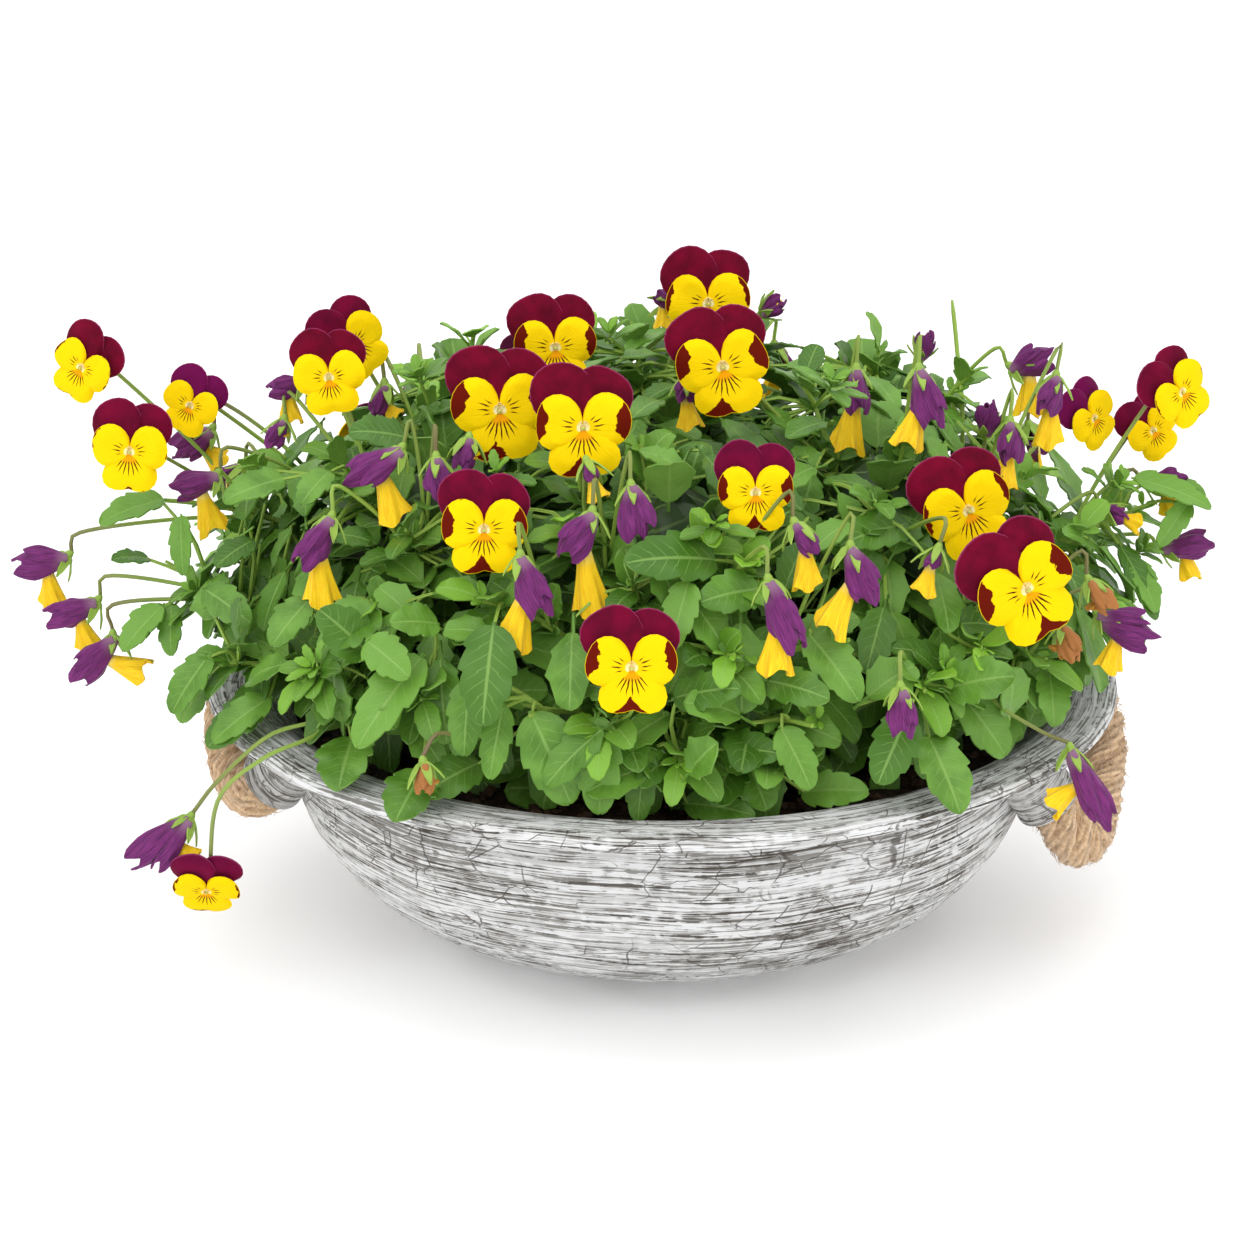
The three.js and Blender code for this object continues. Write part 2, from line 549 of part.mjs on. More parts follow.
// The foot of a plant: it stands in its hole in the soil and flares out into the shoots.
function crown(x, y) {
  const profile = [
    [0, -CROWN_DEPTH], [CROWN_RADIUS - 2, -CROWN_DEPTH], [CROWN_RADIUS, 0], [CROWN_FLARE, 24], [0, 24],
  ];
  const corners = profile.map(([radius, height]) => new THREE.Vector2(radius, height));
  const geometry = new THREE.LatheGeometry(corners, 7).rotateX(Math.PI / 2);
  return solid(geometry.translate(x, y, SOIL_CROWN_HEIGHT));
}

// The dense middle of a plant: tiers of leaf points with notches between them, which its shoots stand out of.
function heart(x, y) {
  const corners = [0, 0, 0, 0, 0, HEART_HEIGHT];
  const index = [];
  HEART_TIERS.forEach(([height, radius], tier) => {
    const first = 2 + tier * 2 * HEART_POINTS;
    for (let k = 0; k < 2 * HEART_POINTS; k += 1) {
      const isTip = k % 2 === 0;
      const turn = (Math.PI * (k + tier)) / HEART_POINTS + 0.3 * (chance(x + tier, k, y) - 0.5);
      const out = HEART_RADIUS * radius * ((isTip ? 1 : 0.62) + 0.14 * chance(y + tier, k, x));
      const rise = HEART_HEIGHT * (height + (isTip ? -0.06 : 0.03) + 0.06 * chance(k, tier, x + y));
      corners.push(out * Math.cos(turn), out * Math.sin(turn), rise);
      const next = (k + 1) % (2 * HEART_POINTS);
      if (tier === 0) {
        index.push(0, first + next, first + k);
      } else {
        const below = first - 2 * HEART_POINTS;
        index.push(below + k, below + next, first + next, below + k, first + next, first + k);
      }
      if (tier + 1 === HEART_TIERS.length) {
        index.push(first + k, first + next, 1);
      }
    }
  });
  const geometry = new THREE.BufferGeometry();
  geometry.setAttribute('position', new THREE.Float32BufferAttribute(corners, 3));
  geometry.setIndex(index);
  return solid(geometry.translate(x * 0.98, y * 0.98, SOIL_CROWN_HEIGHT + 8));
}

// The name of the plant whose crown is nearest to a place.
function nearestPlant(point) {
  const away = ([x, y]) => Math.hypot(point.x - x, point.y - y);
  return Object.keys(CROWNS).reduce((best, name) => (away(CROWNS[name]) < away(CROWNS[best]) ? name : best));
}

// Every shoot: its number, tip, plant and stem curve, which rises from the crown and leans out.
function allShoots() {
  const tips = SHOOT_TIPS.map(vector);
  BACK_RINGS.forEach(([count, out, height], ring) => {
    for (let k = 0; k < count; k += 1) {
      const turn = Math.PI * ((k + 0.5) / count) + (chance(ring, k, 7) - 0.5) * 0.12;
      const reach = out * (0.95 + 0.1 * chance(ring, k, 8));
      tips.push(new THREE.Vector3(reach * Math.cos(turn), reach * Math.sin(turn) * 0.94,
        height + 16 * (chance(ring, k, 9) - 0.5)));
    }
  });
  return tips.map((tip, number) => {
    const plant = nearestPlant(tip);
    const foot = new THREE.Vector3(...CROWNS[plant], SOIL_CROWN_HEIGHT - 2);
    const knee = foot.clone().lerp(tip, 0.4).setZ(foot.z + (tip.z - foot.z) * 0.75 + 6);
    return { number, tip, plant, curve: new THREE.QuadraticBezierCurve3(foot, knee, tip) };
  });
}

// A flower stalk from the nearest shoot to the back of a bloom, hooked over at the top.
function stalkPoints(shoot, end, out, via, sway) {
  const start = onStem(shoot.curve, 0.72);
  if (via) {
    return [start, ...via.map(vector), end];
  }
  const hook = end.clone().addScaledVector(out, -4).addScaledVector(UP, 1);
  const middle = start.clone().lerp(hook, 0.5).addScaledVector(out, -3).add(sway);
  return [start, middle, hook, end];
}

// Adds a stalk and its calyx to the plant that carries them: first clear of all leaves and stalks, or else
// crossing some of its own plant.
function addStalk(shoots, end, out, calyxRadius, via) {
  const near = [...shoots].sort((a, b) => a.tip.distanceTo(end) - b.tip.distanceTo(end)).slice(0, 6);
  const sways = [[0, 0, 0], [6, 4, 0], [-6, 4, 0], [0, 10, 0], [12, 6, 0], [-12, 6, 0], [0, 16, 4],
    [16, 0, 6], [-16, 0, 6], [0, -8, -6]];
  const footOf = (shoot) => (other) => other.kind === 'heart'
    || (other.kind === 'stem' && other.shoot === shoot.number);
  for (const rule of [footOf, () => anything]) {
    for (const shoot of near) {
      const made = keepFirstClear(shoot.plant, sways.map((sway) => () => {
        const back = end.clone().addScaledVector(out, -CALYX_LENGTH);
        const curve = new THREE.CatmullRomCurve3(stalkPoints(shoot, back, out, via, vector(sway)));
        return stalkWithCalyx(curve, via ? 6 : 3, end, out, calyxRadius);
      }), 'stalk', rule(shoot));
      if (made) {
        return shoot.plant;
      }
    }
  }
  return null;
}

const planter = new THREE.Group();
const meshes = [];

const bowlBody = bowl();
const soilBody = soil();
keep('bowl', bowlBody, 'pot');
keep('soil', soilBody, 'pot');
meshes.push(piece('bowl', bowlBody, PAINT), piece('soil', soilBody, SOIL));
for (const [name, points] of Object.entries(ROPE_ROUTES)) {
  const rope = tube(new THREE.CatmullRomCurve3(points.map(vector)), ROPE_RADIUS, 8, 12);
  keep(name, rope, 'rope');
  meshes.push(piece(name, rope, ROPE));
}

// Open blooms come before the greenery, which then grows clear of them.
OPEN_BLOOMS.forEach((bloom, number) => {
  const face = faceOf(bloom);
  const name = `bloom_${String(number + 1).padStart(2, '0')}`;
  const layers = [
    ['upper_petals', petalLayer(face, UPPER_PETALS, UPPER_LAYER_FRONT), MAROON],
    ['lower_petals', petalLayer(face, LOWER_PETALS, LOWER_LAYER_FRONT), YELLOW],
  ];
  for (const [part, shape, material] of layers) {
    keep(`${name}_${part}`, shape, 'petal');
    meshes.push(piece(`${name}_${part}`, shape, material));
  }
});

const shoots = allShoots();
for (const [name, [x, y]] of Object.entries(CROWNS)) {
  keep(name, crown(x, y), 'heart');
  keep(name, heart(x, y), 'heart');
}
for (const { plant, curve, number } of shoots) {
  keepFirstClear(plant, [() => tube(curve, STEM_RADIUS, 3, STEM_STEPS)], 'stem', anything, number);
}

OPEN_BLOOMS.forEach((bloom, number) => {
  const face = faceOf(bloom);
  const end = onFace(face, 0, 0, CALYX_BACK);
  addStalk(shoots, end, face.out, 2.4, OPEN_STALK_VIA[number]);
});
FOLDED_BLOOMS.forEach(([at, purple, yellow], number) => {
  const end = vector(at);
  const [back, front] = [vector(purple), vector(yellow)];
  const out = back.clone().add(front).normalize();
  const plant = addStalk(shoots, end, out, 4, FOLDED_STALK_VIA[number]);
  const from = end.clone().addScaledVector(out, -0.7);
  const petals = () => Manifold.union([back, front].map((reach) => lobe(
    from.clone().addScaledVector(squared(reach, out), 1.1), reach, reach.length() * 0.42)));
  if (plant) {
    keepFirstClear(plant, [petals], 'petal', anything);
  }
});

// Leaves fill what is left: each is turned clear of all but the stem that carries it, or left out.
const bends = (leaf, outline, stemPoint) => [0, 0.14, -0.14, 0.35, -0.35].map((bend) => () => leafBlade(
  { ...leaf, direction: leaf.direction.clone().addScaledVector(leaf.up, bend).normalize() },
  outline, stemPoint));
for (const row of LARGE_LEAVES) {
  const leaf = largeLeaf(row);
  const plant = nearestPlant(leaf.foot);
  let nearest = null;
  let carrier = null;
  for (const { curve, number } of shoots.filter((shoot) => shoot.plant === plant)) {
    for (let step = 0; step < 10; step += 1) {
      const point = onStem(curve, step / 10);
      if (nearest === null || point.distanceTo(leaf.foot) < nearest.distanceTo(leaf.foot)) {
        nearest = point;
        carrier = number;
      }
    }
  }
  const itsStem = (other) => other.kind === 'heart' || (other.kind === 'stem' && other.shoot === carrier);
  const versions = bends(leaf, LARGE_LEAF, nearest);
  if (!keepFirstClear(plant, versions, 'leaf', itsStem)) {
    keepFirstClear(plant, versions, 'leaf', anything);
  }
}
for (const { number, plant, curve } of shoots) {
  const itsStem = (other) => other.kind === 'heart' || (other.kind === 'stem' && other.shoot === number);
  for (const i of number < SHOOT_TIPS.length ? LEAVES_IN_THE_SOLID : LEAVES_IN_THE_SOLID.slice(1)) {
    const leaf = shootLeaf(curve, number, i);
    keepFirstClear(plant, bends(leaf, SMALL_LEAF), 'leaf', itsStem);
  }
}

for (const name of Object.keys(CROWNS)) {
  const solids = placed.filter((one) => one.owner === name).map((one) => one.shape);
  meshes.push(piece(name, Manifold.union(solids), LEAF));
}
planter.add(...meshes);

export default planter;
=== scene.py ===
"""Dresses the solid model of a whitewashed bowl of pansies.

The bowl, its soil, the two rope handles, the open blooms and the seven plants are made here as fine meshes
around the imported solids. Tables of places are in millimetres, and meshes are in metres.
"""

from __future__ import annotations

import logging
import math
from dataclasses import dataclass, field
from enum import Enum, IntEnum

import bpy
import numpy as np
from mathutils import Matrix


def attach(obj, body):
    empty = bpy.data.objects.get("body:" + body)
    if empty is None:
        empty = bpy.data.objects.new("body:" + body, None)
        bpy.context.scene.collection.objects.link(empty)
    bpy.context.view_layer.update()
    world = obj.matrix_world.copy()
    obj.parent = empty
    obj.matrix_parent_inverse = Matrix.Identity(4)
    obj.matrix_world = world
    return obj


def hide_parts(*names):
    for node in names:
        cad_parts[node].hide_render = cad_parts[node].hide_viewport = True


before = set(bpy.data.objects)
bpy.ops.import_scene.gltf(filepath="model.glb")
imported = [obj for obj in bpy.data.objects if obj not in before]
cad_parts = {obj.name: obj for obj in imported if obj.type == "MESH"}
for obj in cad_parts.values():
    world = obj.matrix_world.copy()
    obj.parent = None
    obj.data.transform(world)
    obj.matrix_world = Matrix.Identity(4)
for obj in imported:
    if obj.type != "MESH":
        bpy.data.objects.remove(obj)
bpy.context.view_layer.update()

log = logging.getLogger("pansy_bowl")
Array = np.ndarray
Material = bpy.types.Material
Colour = tuple[float, float, float]
Triple = tuple[float, float, float]
Profile = tuple[tuple[float, float], ...]

MM = 0.001
BODY = "root"
UP = np.array([0.0, 0.0, 1.0])
GOLDEN_TURN = math.pi * (3 - math.sqrt(5))
STALK_POINTS = 26
MOUND_MIDDLE = np.array([0.0, 0.0, 80.0])
DOME_MIDDLE = np.array([0.0, 0.0, 92.0])
DOME_SIZE = np.array([198.0, 168.0, 140.0])
SOIL_CROWN_HEIGHT = 92.0
# Leaves keep out of the ring that the bowl's rim takes up: its inner and outer radius, and its top
RIM_INNER, RIM_OUTER, RIM_TOP = 139.0, 178.0, 101.5

# Where the seven plants stand in the soil
CROWNS = {
    "plant_middle": (0, 8),
    "plant_front": (0, -90),
    "plant_front_right": (80, -46),
    "plant_back_right": (80, 46),
    "plant_back": (0, 92),
    "plant_back_left": (-80, 46),
    "plant_front_left": (-80, -46),
}
# Tips of the leafy shoots, front and sides
SHOOT_TIPS = [
    [-181, -20, 136], [-190, 0, 165], [-129, -112, 135], [-155, 0, 177], [-123, -40, 195],
    [-89, -10, 213], [-72, 20, 226], [-92, -95, 184], [-65, -125, 168], [-165, -70, 124],
    [-37, -110, 192], [-12, 20, 230], [-9, -80, 211], [15, -115, 190], [23, -145, 155],
    [50, -150, 131], [90, -135, 138], [74, -90, 193], [50, -25, 221], [83, 25, 218],
    [87, -55, 205], [119, 15, 212], [140, -25, 185], [156, -40, 166], [186, 0, 163],
    [163, -55, 144], [136, -100, 137], [112, -118, 147], [-23, -150, 129], [5, -150, 117],
    [-47, -148, 134], [43, -146, 113], [-85, -135, 135], [-104, -115, 157], [-13, -130, 177],
    [63, -135, 157], [32, -122, 182], [-37, -75, 211],
]
# Rings of shoots round the back of the mound: how many, how far out, how high
BACK_RINGS = [[7, 172, 132], [6, 138, 176], [4, 88, 212]]

# Open blooms: middle of the face, width, then yaw, pitch and clockwise roll of the face in degrees
OPEN_BLOOMS = [
    [[-216, -17, 222], 25, -25, 5, 28], [[-197, -36, 195], 29, -5, 8, 2], [[-178, -5, 204], 22, -12, 8, 22],
    [[-122, -42, 225], 27, -5, 8, -8], [[-115, -16, 231], 26, 15, 8, -35], [[-40, -30, 233], 31, 6, 12, -4],
    [[-59, -68, 220], 36, 0, 12, -4], [[-29, -90, 220], 35, 0, 12, -3], [[-63, -120, 192], 31, 0, 10, 0],
    [[17, 12, 239], 33, 5, 10, -2], [[21, -50, 231], 35, 0, 12, -12], [[31, -112, 203], 27, -3, 10, -3],
    [[-12, -160, 156], 32, 0, 10, -2], [[125, -122, 171], 38, 18, 5, -28], [[107, -92, 190], 34, 12, 8, -20],
    [[193, -15, 212], 26, 30, 8, -38], [[187, 9, 190], 22, 20, 8, -30], [[162, -5, 199], 23, 38, 5, -30],
    [[-168, -95, 45], 25, -5, -30, 5], [[-50, 140, 180], 30, 170, 12, 4], [[84, 134, 166], 32, 155, 10, -6],
    [[14, 160, 150], 31, 182, 8, 3], [[-122, 110, 158], 28, 220, 8, -10],
]
# How much brown each open bloom has at the edges of its yellow petals
BLOTCHES = [
    0.15, 0.12, 0.0, 0.0, 0.0, 0.8, 1.0, 0.9, 0.95, 0.35, 0.95, 0.9, 0.85, 1.0, 0.45, 0.1, 0.0, 0.0, 0.25,
    0.9, 0.5, 0.8, 0.2,
]
# How magenta the upper petals of each open bloom are: most are a deep maroon
MAGENTA = [0.0, 0.1, 0.9, 0.0, 0.15, 0.0, 0.0, 0.0, 0.1, 0.0, 0.0, 0.2, 0.1, 0.05, 0.0, 0.1, 0.2, 0.8, 0.3,
           0.1, 0.3, 0.0, 0.4]
# Folded blooms and buds: where the calyx is, then how far the purple and the yellow petals reach from it
FOLDED_BLOOMS = [
    [[-229, -5, 143], [-20, -2, -4], [-4, -4, -19]], [[-217, -15, 128], [-19, -2, -6], [-1, -4, -18]],
    [[-209, -25, 117], [-15, -3, -17], [14, -5, -12]], [[-169, -14, 178], [-17, -3, -4], [0, -5, -21]],
    [[-174, 15, 187], [-16, -2, -6], [6, -4, -12]], [[-136, -14, 215], [-12, -2, -4], [-3, -4, -15]],
    [[-104, -15, 213], [-4, -3, -11], [5, -4, -11]], [[-95, -78, 207], [-21, -4, -9], [0, -7, -25]],
    [[-119, -90, 185], [-11, -6, -16], [-3, -5, -31]], [[-26, -122, 197], [-9, -4, -15], [1, -6, -36]],
    [[-50, -134, 185], [7, -5, -20], [-4, -5, -31]], [[-12, -114, 204], [0, -8, -18], [3, -5, -9]],
    [[45, -122, 193], [7, -4, -9], [4, -7, -21]], [[63, -130, 187], [7, -5, -19], [-8, -7, -28]],
    [[35, -142, 179], [9, -6, -23], [2, -6, -31]], [[70, -38, 225], [0, -5, -15], [-3, -6, -29]],
    [[91, -60, 231], [5, -6, -20], [-5, -8, -26]], [[100, 30, 215], [1, -1, 11], [0, -3, 5]],
    [[8, -38, 222], [-1, -5, -8], [2, -5, -17]], [[2, 40, 231], [-5, 0, 7], [-1, -4, -9]],
    [[40, 40, 229], [7, 0, 7], [5, -3, 2]], [[119, -30, 202], [-1, -2, 13], [1, -2, 6]],
    [[134, 10, 214], [16, -2, 6], [5, -5, -18]], [[145, -22, 218], [-4, -5, -13], [-2, -6, -25]],
    [[127, -38, 205], [1, -5, -14], [-3, -6, -23]], [[186, -2, 172], [14, -2, 5], [8, -3, -11]],
    [[167, -27, 169], [6, -4, -4], [12, -4, -4]], [[193, -5, 147], [18, -2, 4], [9, -3, -12]],
    [[157, -85, 147], [20, -6, -9], [2, -6, -19]], [[143, -124, 110], [14, -8, -26], [-9, -9, -17]],
    [[-175, -88, 69], [-23, -5, -14], [4, -6, -15]], [[80, -150, 143], [0, -3, -16], [1, -4, -10]],
    [[94, -114, 181], [-3, -4, -5], [-5, -6, -14]], [[-27, -102, 209], [2, -5, -5], [4, -6, -11]],
    [[-70, -80, 211], [-3, -5, -10], [1, -4, -6]], [[-81, -87, 206], [-1, -5, -13], [2, -4, -8]],
    [[-142, -22, 201], [-5, -4, -9], [1, -3, -5]], [[-83, -157, 118], [0, -4, -9], [3, -3, -6]],
    [[141, -102, 148], [3, -5, -11], [-3, -4, -7]], [[152, -92, 162], [8, -4, -9], [1, -4, -9]],
    [[-100, 128, 180], [-4, 6, -18], [3, 8, -27]], [[48, 138, 188], [6, 7, -17], [-3, 7, -28]],
    [[150, 88, 168], [9, 6, -16], [2, 7, -24]], [[-168, 62, 158], [-15, 5, -10], [-2, 6, -20]],
]
# Folded blooms that have withered, by their place in the list
WILTED_BLOOMS = {37, 38, 39}
# Points that a stalk passes on its way, by the bloom that it carries
OPEN_STALK_VIA = {18: [[-122, -100, 112], [-143, -112, 104], [-160, -112, 88]]}
FOLDED_STALK_VIA = {
    30: [[-118, -92, 114], [-142, -97, 107], [-162, -94, 88]],
    29: [[116, -110, 126], [132, -118, 117]],
    33: [[-28, -99, 190], [-28.5, -102, 204]],
    34: [[-68, -76, 188], [-71, -81, 204]],
    37: [[-70, -138, 124], [-79, -150, 128]],
}
# Tufts of young leaves: heart, leaf length and how many
ROSETTES = [
    [[-124, -112, 138], 17, 13], [[-112, -104, 130], 14, 11], [[-176, -30, 138], 16, 12], [[-189, -25, 150], 14, 10],
    [[17, -118, 194], 15, 11], [[27, -134, 152], 14, 11], [[53, -138, 128], 14, 11], [[98, -122, 140], 15, 12],
    [[-60, -95, 205], 15, 11], [[60, -60, 228], 15, 11], [[-150, -30, 188], 15, 11], [[170, -20, 178], 16, 11],
    [[182, -15, 150], 14, 10], [[120, -92, 165], 14, 11], [[-20, -20, 236], 15, 11], [[-90, -40, 225], 15, 11],
]
# The stalk at the right whose bloom has dropped off
BARE_STALK = [[112, 10, 150], [115, 13, 190], [113, 25, 218], [111, 30, 236]]
# Large leaves that show at the front, and a few at the sides: foot, tip and width
LARGE_LEAVES = [
    [[-84, -128, 149], [-107, -150, 127], 17], [[-59, -142, 166], [-63, -160, 138], 19],
    [[-68, -138, 144], [-70, -150, 122], 13], [[-47, -146, 135], [-33, -158, 108], 19],
    [[-56, -142, 136], [-61, -154, 115], 11], [[-111, -112, 112], [-115, -135, 104], 20],
    [[-64, -136, 112], [-84, -150, 108], 15], [[-84, -140, 110], [-93, -163, 104], 18],
    [[-166, -70, 128], [-180, -82, 112], 14], [[-145, -80, 114], [-166, -92, 103], 15],
    [[-103, -122, 146], [-119, -130, 168], 17], [[-105, -112, 140], [-94, -122, 163], 11],
    [[-79, -125, 159], [-94, -137, 166], 13], [[8, -130, 177], [1, -147, 160], 12],
    [[33, -125, 172], [12, -137, 174], 16], [[2, -145, 139], [24, -157, 150], 14],
    [[-24, -146, 134], [-23, -158, 104], 16], [[-7, -144, 120], [-10, -152, 98], 11],
    [[6, -135, 96], [30, -149, 100], 12], [[18, -140, 118], [38, -152, 124], 14],
    [[28, -132, 112], [35, -148, 101], 16], [[39, -145, 129], [50, -154, 111], 13],
    [[47, -130, 98], [70, -140, 105], 13], [[49, -128, 157], [66, -147, 142], 16],
    [[33, -140, 144], [55, -154, 145], 14], [[91, -135, 122], [101, -160, 106], 17],
    [[84, -140, 132], [73, -153, 113], 16], [[98, -125, 135], [120, -137, 147], 17],
    [[103, -110, 129], [121, -119, 110], 18], [[138, -92, 131], [139, -109, 117], 13],
    [[88, -82, 182], [62, -104, 185], 15], [[172, -20, 154], [187, -32, 131], 11],
    [[177, -10, 177], [207, -17, 171], 11], [[18, -118, 180], [-13, -140, 191], 19],
    [[-189, -5, 167], [-213, -16, 164], 13], [[-188, -30, 133], [-203, -41, 121], 13],
    [[-139, -40, 186], [-161, -52, 184], 14], [[-180, -30, 169], [-179, -42, 151], 9],
    [[-169, -60, 150], [-151, -72, 143], 13], [[-194, -20, 148], [-206, -32, 154], 9],
    [[-189, -20, 130], [-202, -32, 120], 11], [[-185, -30, 134], [-185, -42, 119], 10],
    [[-168, -60, 116], [-178, -72, 104], 14], [[-143, -80, 115], [-164, -92, 105], 13],
    [[-101, -115, 162], [-118, -127, 154], 19], [[-104, -130, 155], [-89, -142, 148], 14],
    [[-92, -60, 207], [-112, -72, 216], 15], [[-121, -60, 195], [-131, -72, 188], 12],
    [[-152, -40, 162], [-165, -52, 158], 12], [[-127, -90, 156], [-140, -102, 145], 14],
    [[177, -20, 148], [186, -32, 133], 11], [[166, -30, 139], [180, -42, 123], 12],
    [[186, 0, 174], [205, -12, 173], 10], [[155, -60, 130], [145, -72, 115], 13],
    [[136, -80, 129], [134, -92, 115], 13], [[120, -100, 125], [103, -112, 118], 14],
    [[149, -70, 149], [136, -82, 138], 13], [[200, -10, 168], [187, -22, 156], 9],
    [[128, -80, 168], [114, -92, 160], 13],
]
# Routes of the two rope handles, from the front sleeve round to the rear one
ROPE_ROUTES = {
    "rope_handle_right": [
        [145, -59, 65], [149, -57.5, 59.5], [152.5, -55.5, 53], [155.5, -52, 47], [159, -46, 43.5],
        [162.5, -38.5, 43], [165.5, -30, 46], [168, -21.5, 51.5], [170, -13, 58], [171.5, -4, 64.5],
        [172, 5.5, 70], [171.5, 15.5, 74], [169, 25, 76], [165.5, 33, 76], [160.5, 40, 73.5], [155, 45, 69.5],
    ],
    "rope_handle_left": [
        [-149, -41, 66], [-153, -38.5, 61.5], [-157, -34, 59], [-160.5, -28, 58.5], [-163.5, -21, 60],
        [-166, -13, 62.5], [-168, -4.5, 66], [-169.5, 4.5, 69.5], [-170, 13.5, 72.5], [-169.5, 22.5, 75],
        [-168, 31, 76.5], [-165, 39, 76.5], [-161, 46, 75], [-156, 52, 72], [-150.5, 56, 68],
    ],
}


def chance(a: float, b: float, c: float) -> float:
    """Gives a value from 0 to 1 that is the same on each run for the same three numbers."""
    wave = math.sin(a * 12.9898 + b * 78.233 + c * 37.719) * 43758.5453
    return wave - math.floor(wave)


def point(values: list[float]) -> Array:
    """Turns a row of a table into a vector, for instance a place in millimetres."""
    return np.array(values, dtype=float)


def unit(vector: Array) -> Array:
    """Gives the vector with length one."""
    return vector / np.linalg.norm(vector)


def squared(wish: Array, direction: Array) -> Array:
    """Turns the direction wished for so that it stands square to another one."""
    return unit(wish - direction * wish.dot(direction))


def toward(first: Array, second: Array, turn: float) -> Array:
    """Gives the direction at an angle from one direction to another that is square to it."""
    return first * math.cos(turn) + second * math.sin(turn)


def on_ball(level: float, turn: float) -> Array:
    """Gives the direction at a height from -1 to 1 and a turn about the upright."""
    ring = math.sqrt(max(0.0, 1 - level * level))
    return np.array([ring * math.cos(turn), ring * math.sin(turn), level])


def full_turn(count: int) -> Array:
    """Gives even angles round a full circle, in radians."""
    return np.linspace(0, 2 * math.pi, count, endpoint=False)


def paired(along: Array, across: Array) -> Array:
    """Pairs a column of values along a form with a row of values across it."""
    return np.stack(np.broadcast_arrays(along, across), axis=2)


def distances(path: Array) -> Array:
    """Gives how far along a path each of its points is."""
    return np.concatenate([[0], np.cumsum(np.linalg.norm(np.diff(path, axis=0), axis=1))])


def evened(path: Array, count: int) -> Array:
    """Shares out points evenly along a path.

    Args:
        path: The points of the path, one a row.
        count: How many points the result has.

    Returns:
        Points at even distances along it.
    """
    run = distances(path)
    wanted = np.linspace(0, run[-1], count)
    return np.stack([np.interp(wanted, run, path[:, k]) for k in range(3)], axis=1)


def smooth_curve(corners: Array, steps: int) -> Array:
    """Runs a smooth curve through points, with the same number of steps between each two.

    Args:
        corners: The points, one a row.
        steps: How many steps lie between two points.

    Returns:
        The points of the curve, the first and last corner included.
    """
    padded = np.vstack([2 * corners[0] - corners[1], corners, 2 * corners[-1] - corners[-2]])
    part = np.linspace(0, 1, steps, endpoint=False)[:, None]
    rows = []
    for k in range(1, len(padded) - 2):
        a, b, c, d = padded[k - 1 : k + 3]
        rows.append(
            0.5 * (2 * b + (c - a) * part + (2 * a - 5 * b + 4 * c - d) * part**2
                   + (3 * b - a - 3 * c + d) * part**3)
        )
    rows.append(corners[-1][None, :])
    return np.vstack(rows)


def even_curve(corners: Array, count: int) -> Array:
    """Runs a smooth curve through points and gives a count of points at even distances along it."""
    return evened(smooth_curve(corners, 12), count)


def frames_along(path: Array) -> tuple[Array, Array, Array]:
    """Finds directions square to a path that turn as little as possible from point to point.

    Args:
        path: The points of the path, one a row.

    Returns:
        The tangents, and two sets of directions square to them and to each other.
    """
    tangents = np.gradient(path, axis=0)
    tangents /= np.linalg.norm(tangents, axis=1)[:, None]
    start = np.array([1.0, 0.2, 0.1]) if abs(tangents[0][0]) < 0.8 else np.array([0.1, 1.0, 0.2])
    across = [squared(start, tangents[0])]
    for tangent in tangents[1:]:
        across.append(squared(across[-1], tangent))
    first = np.array(across)
    return tangents, first, np.cross(tangents, first)


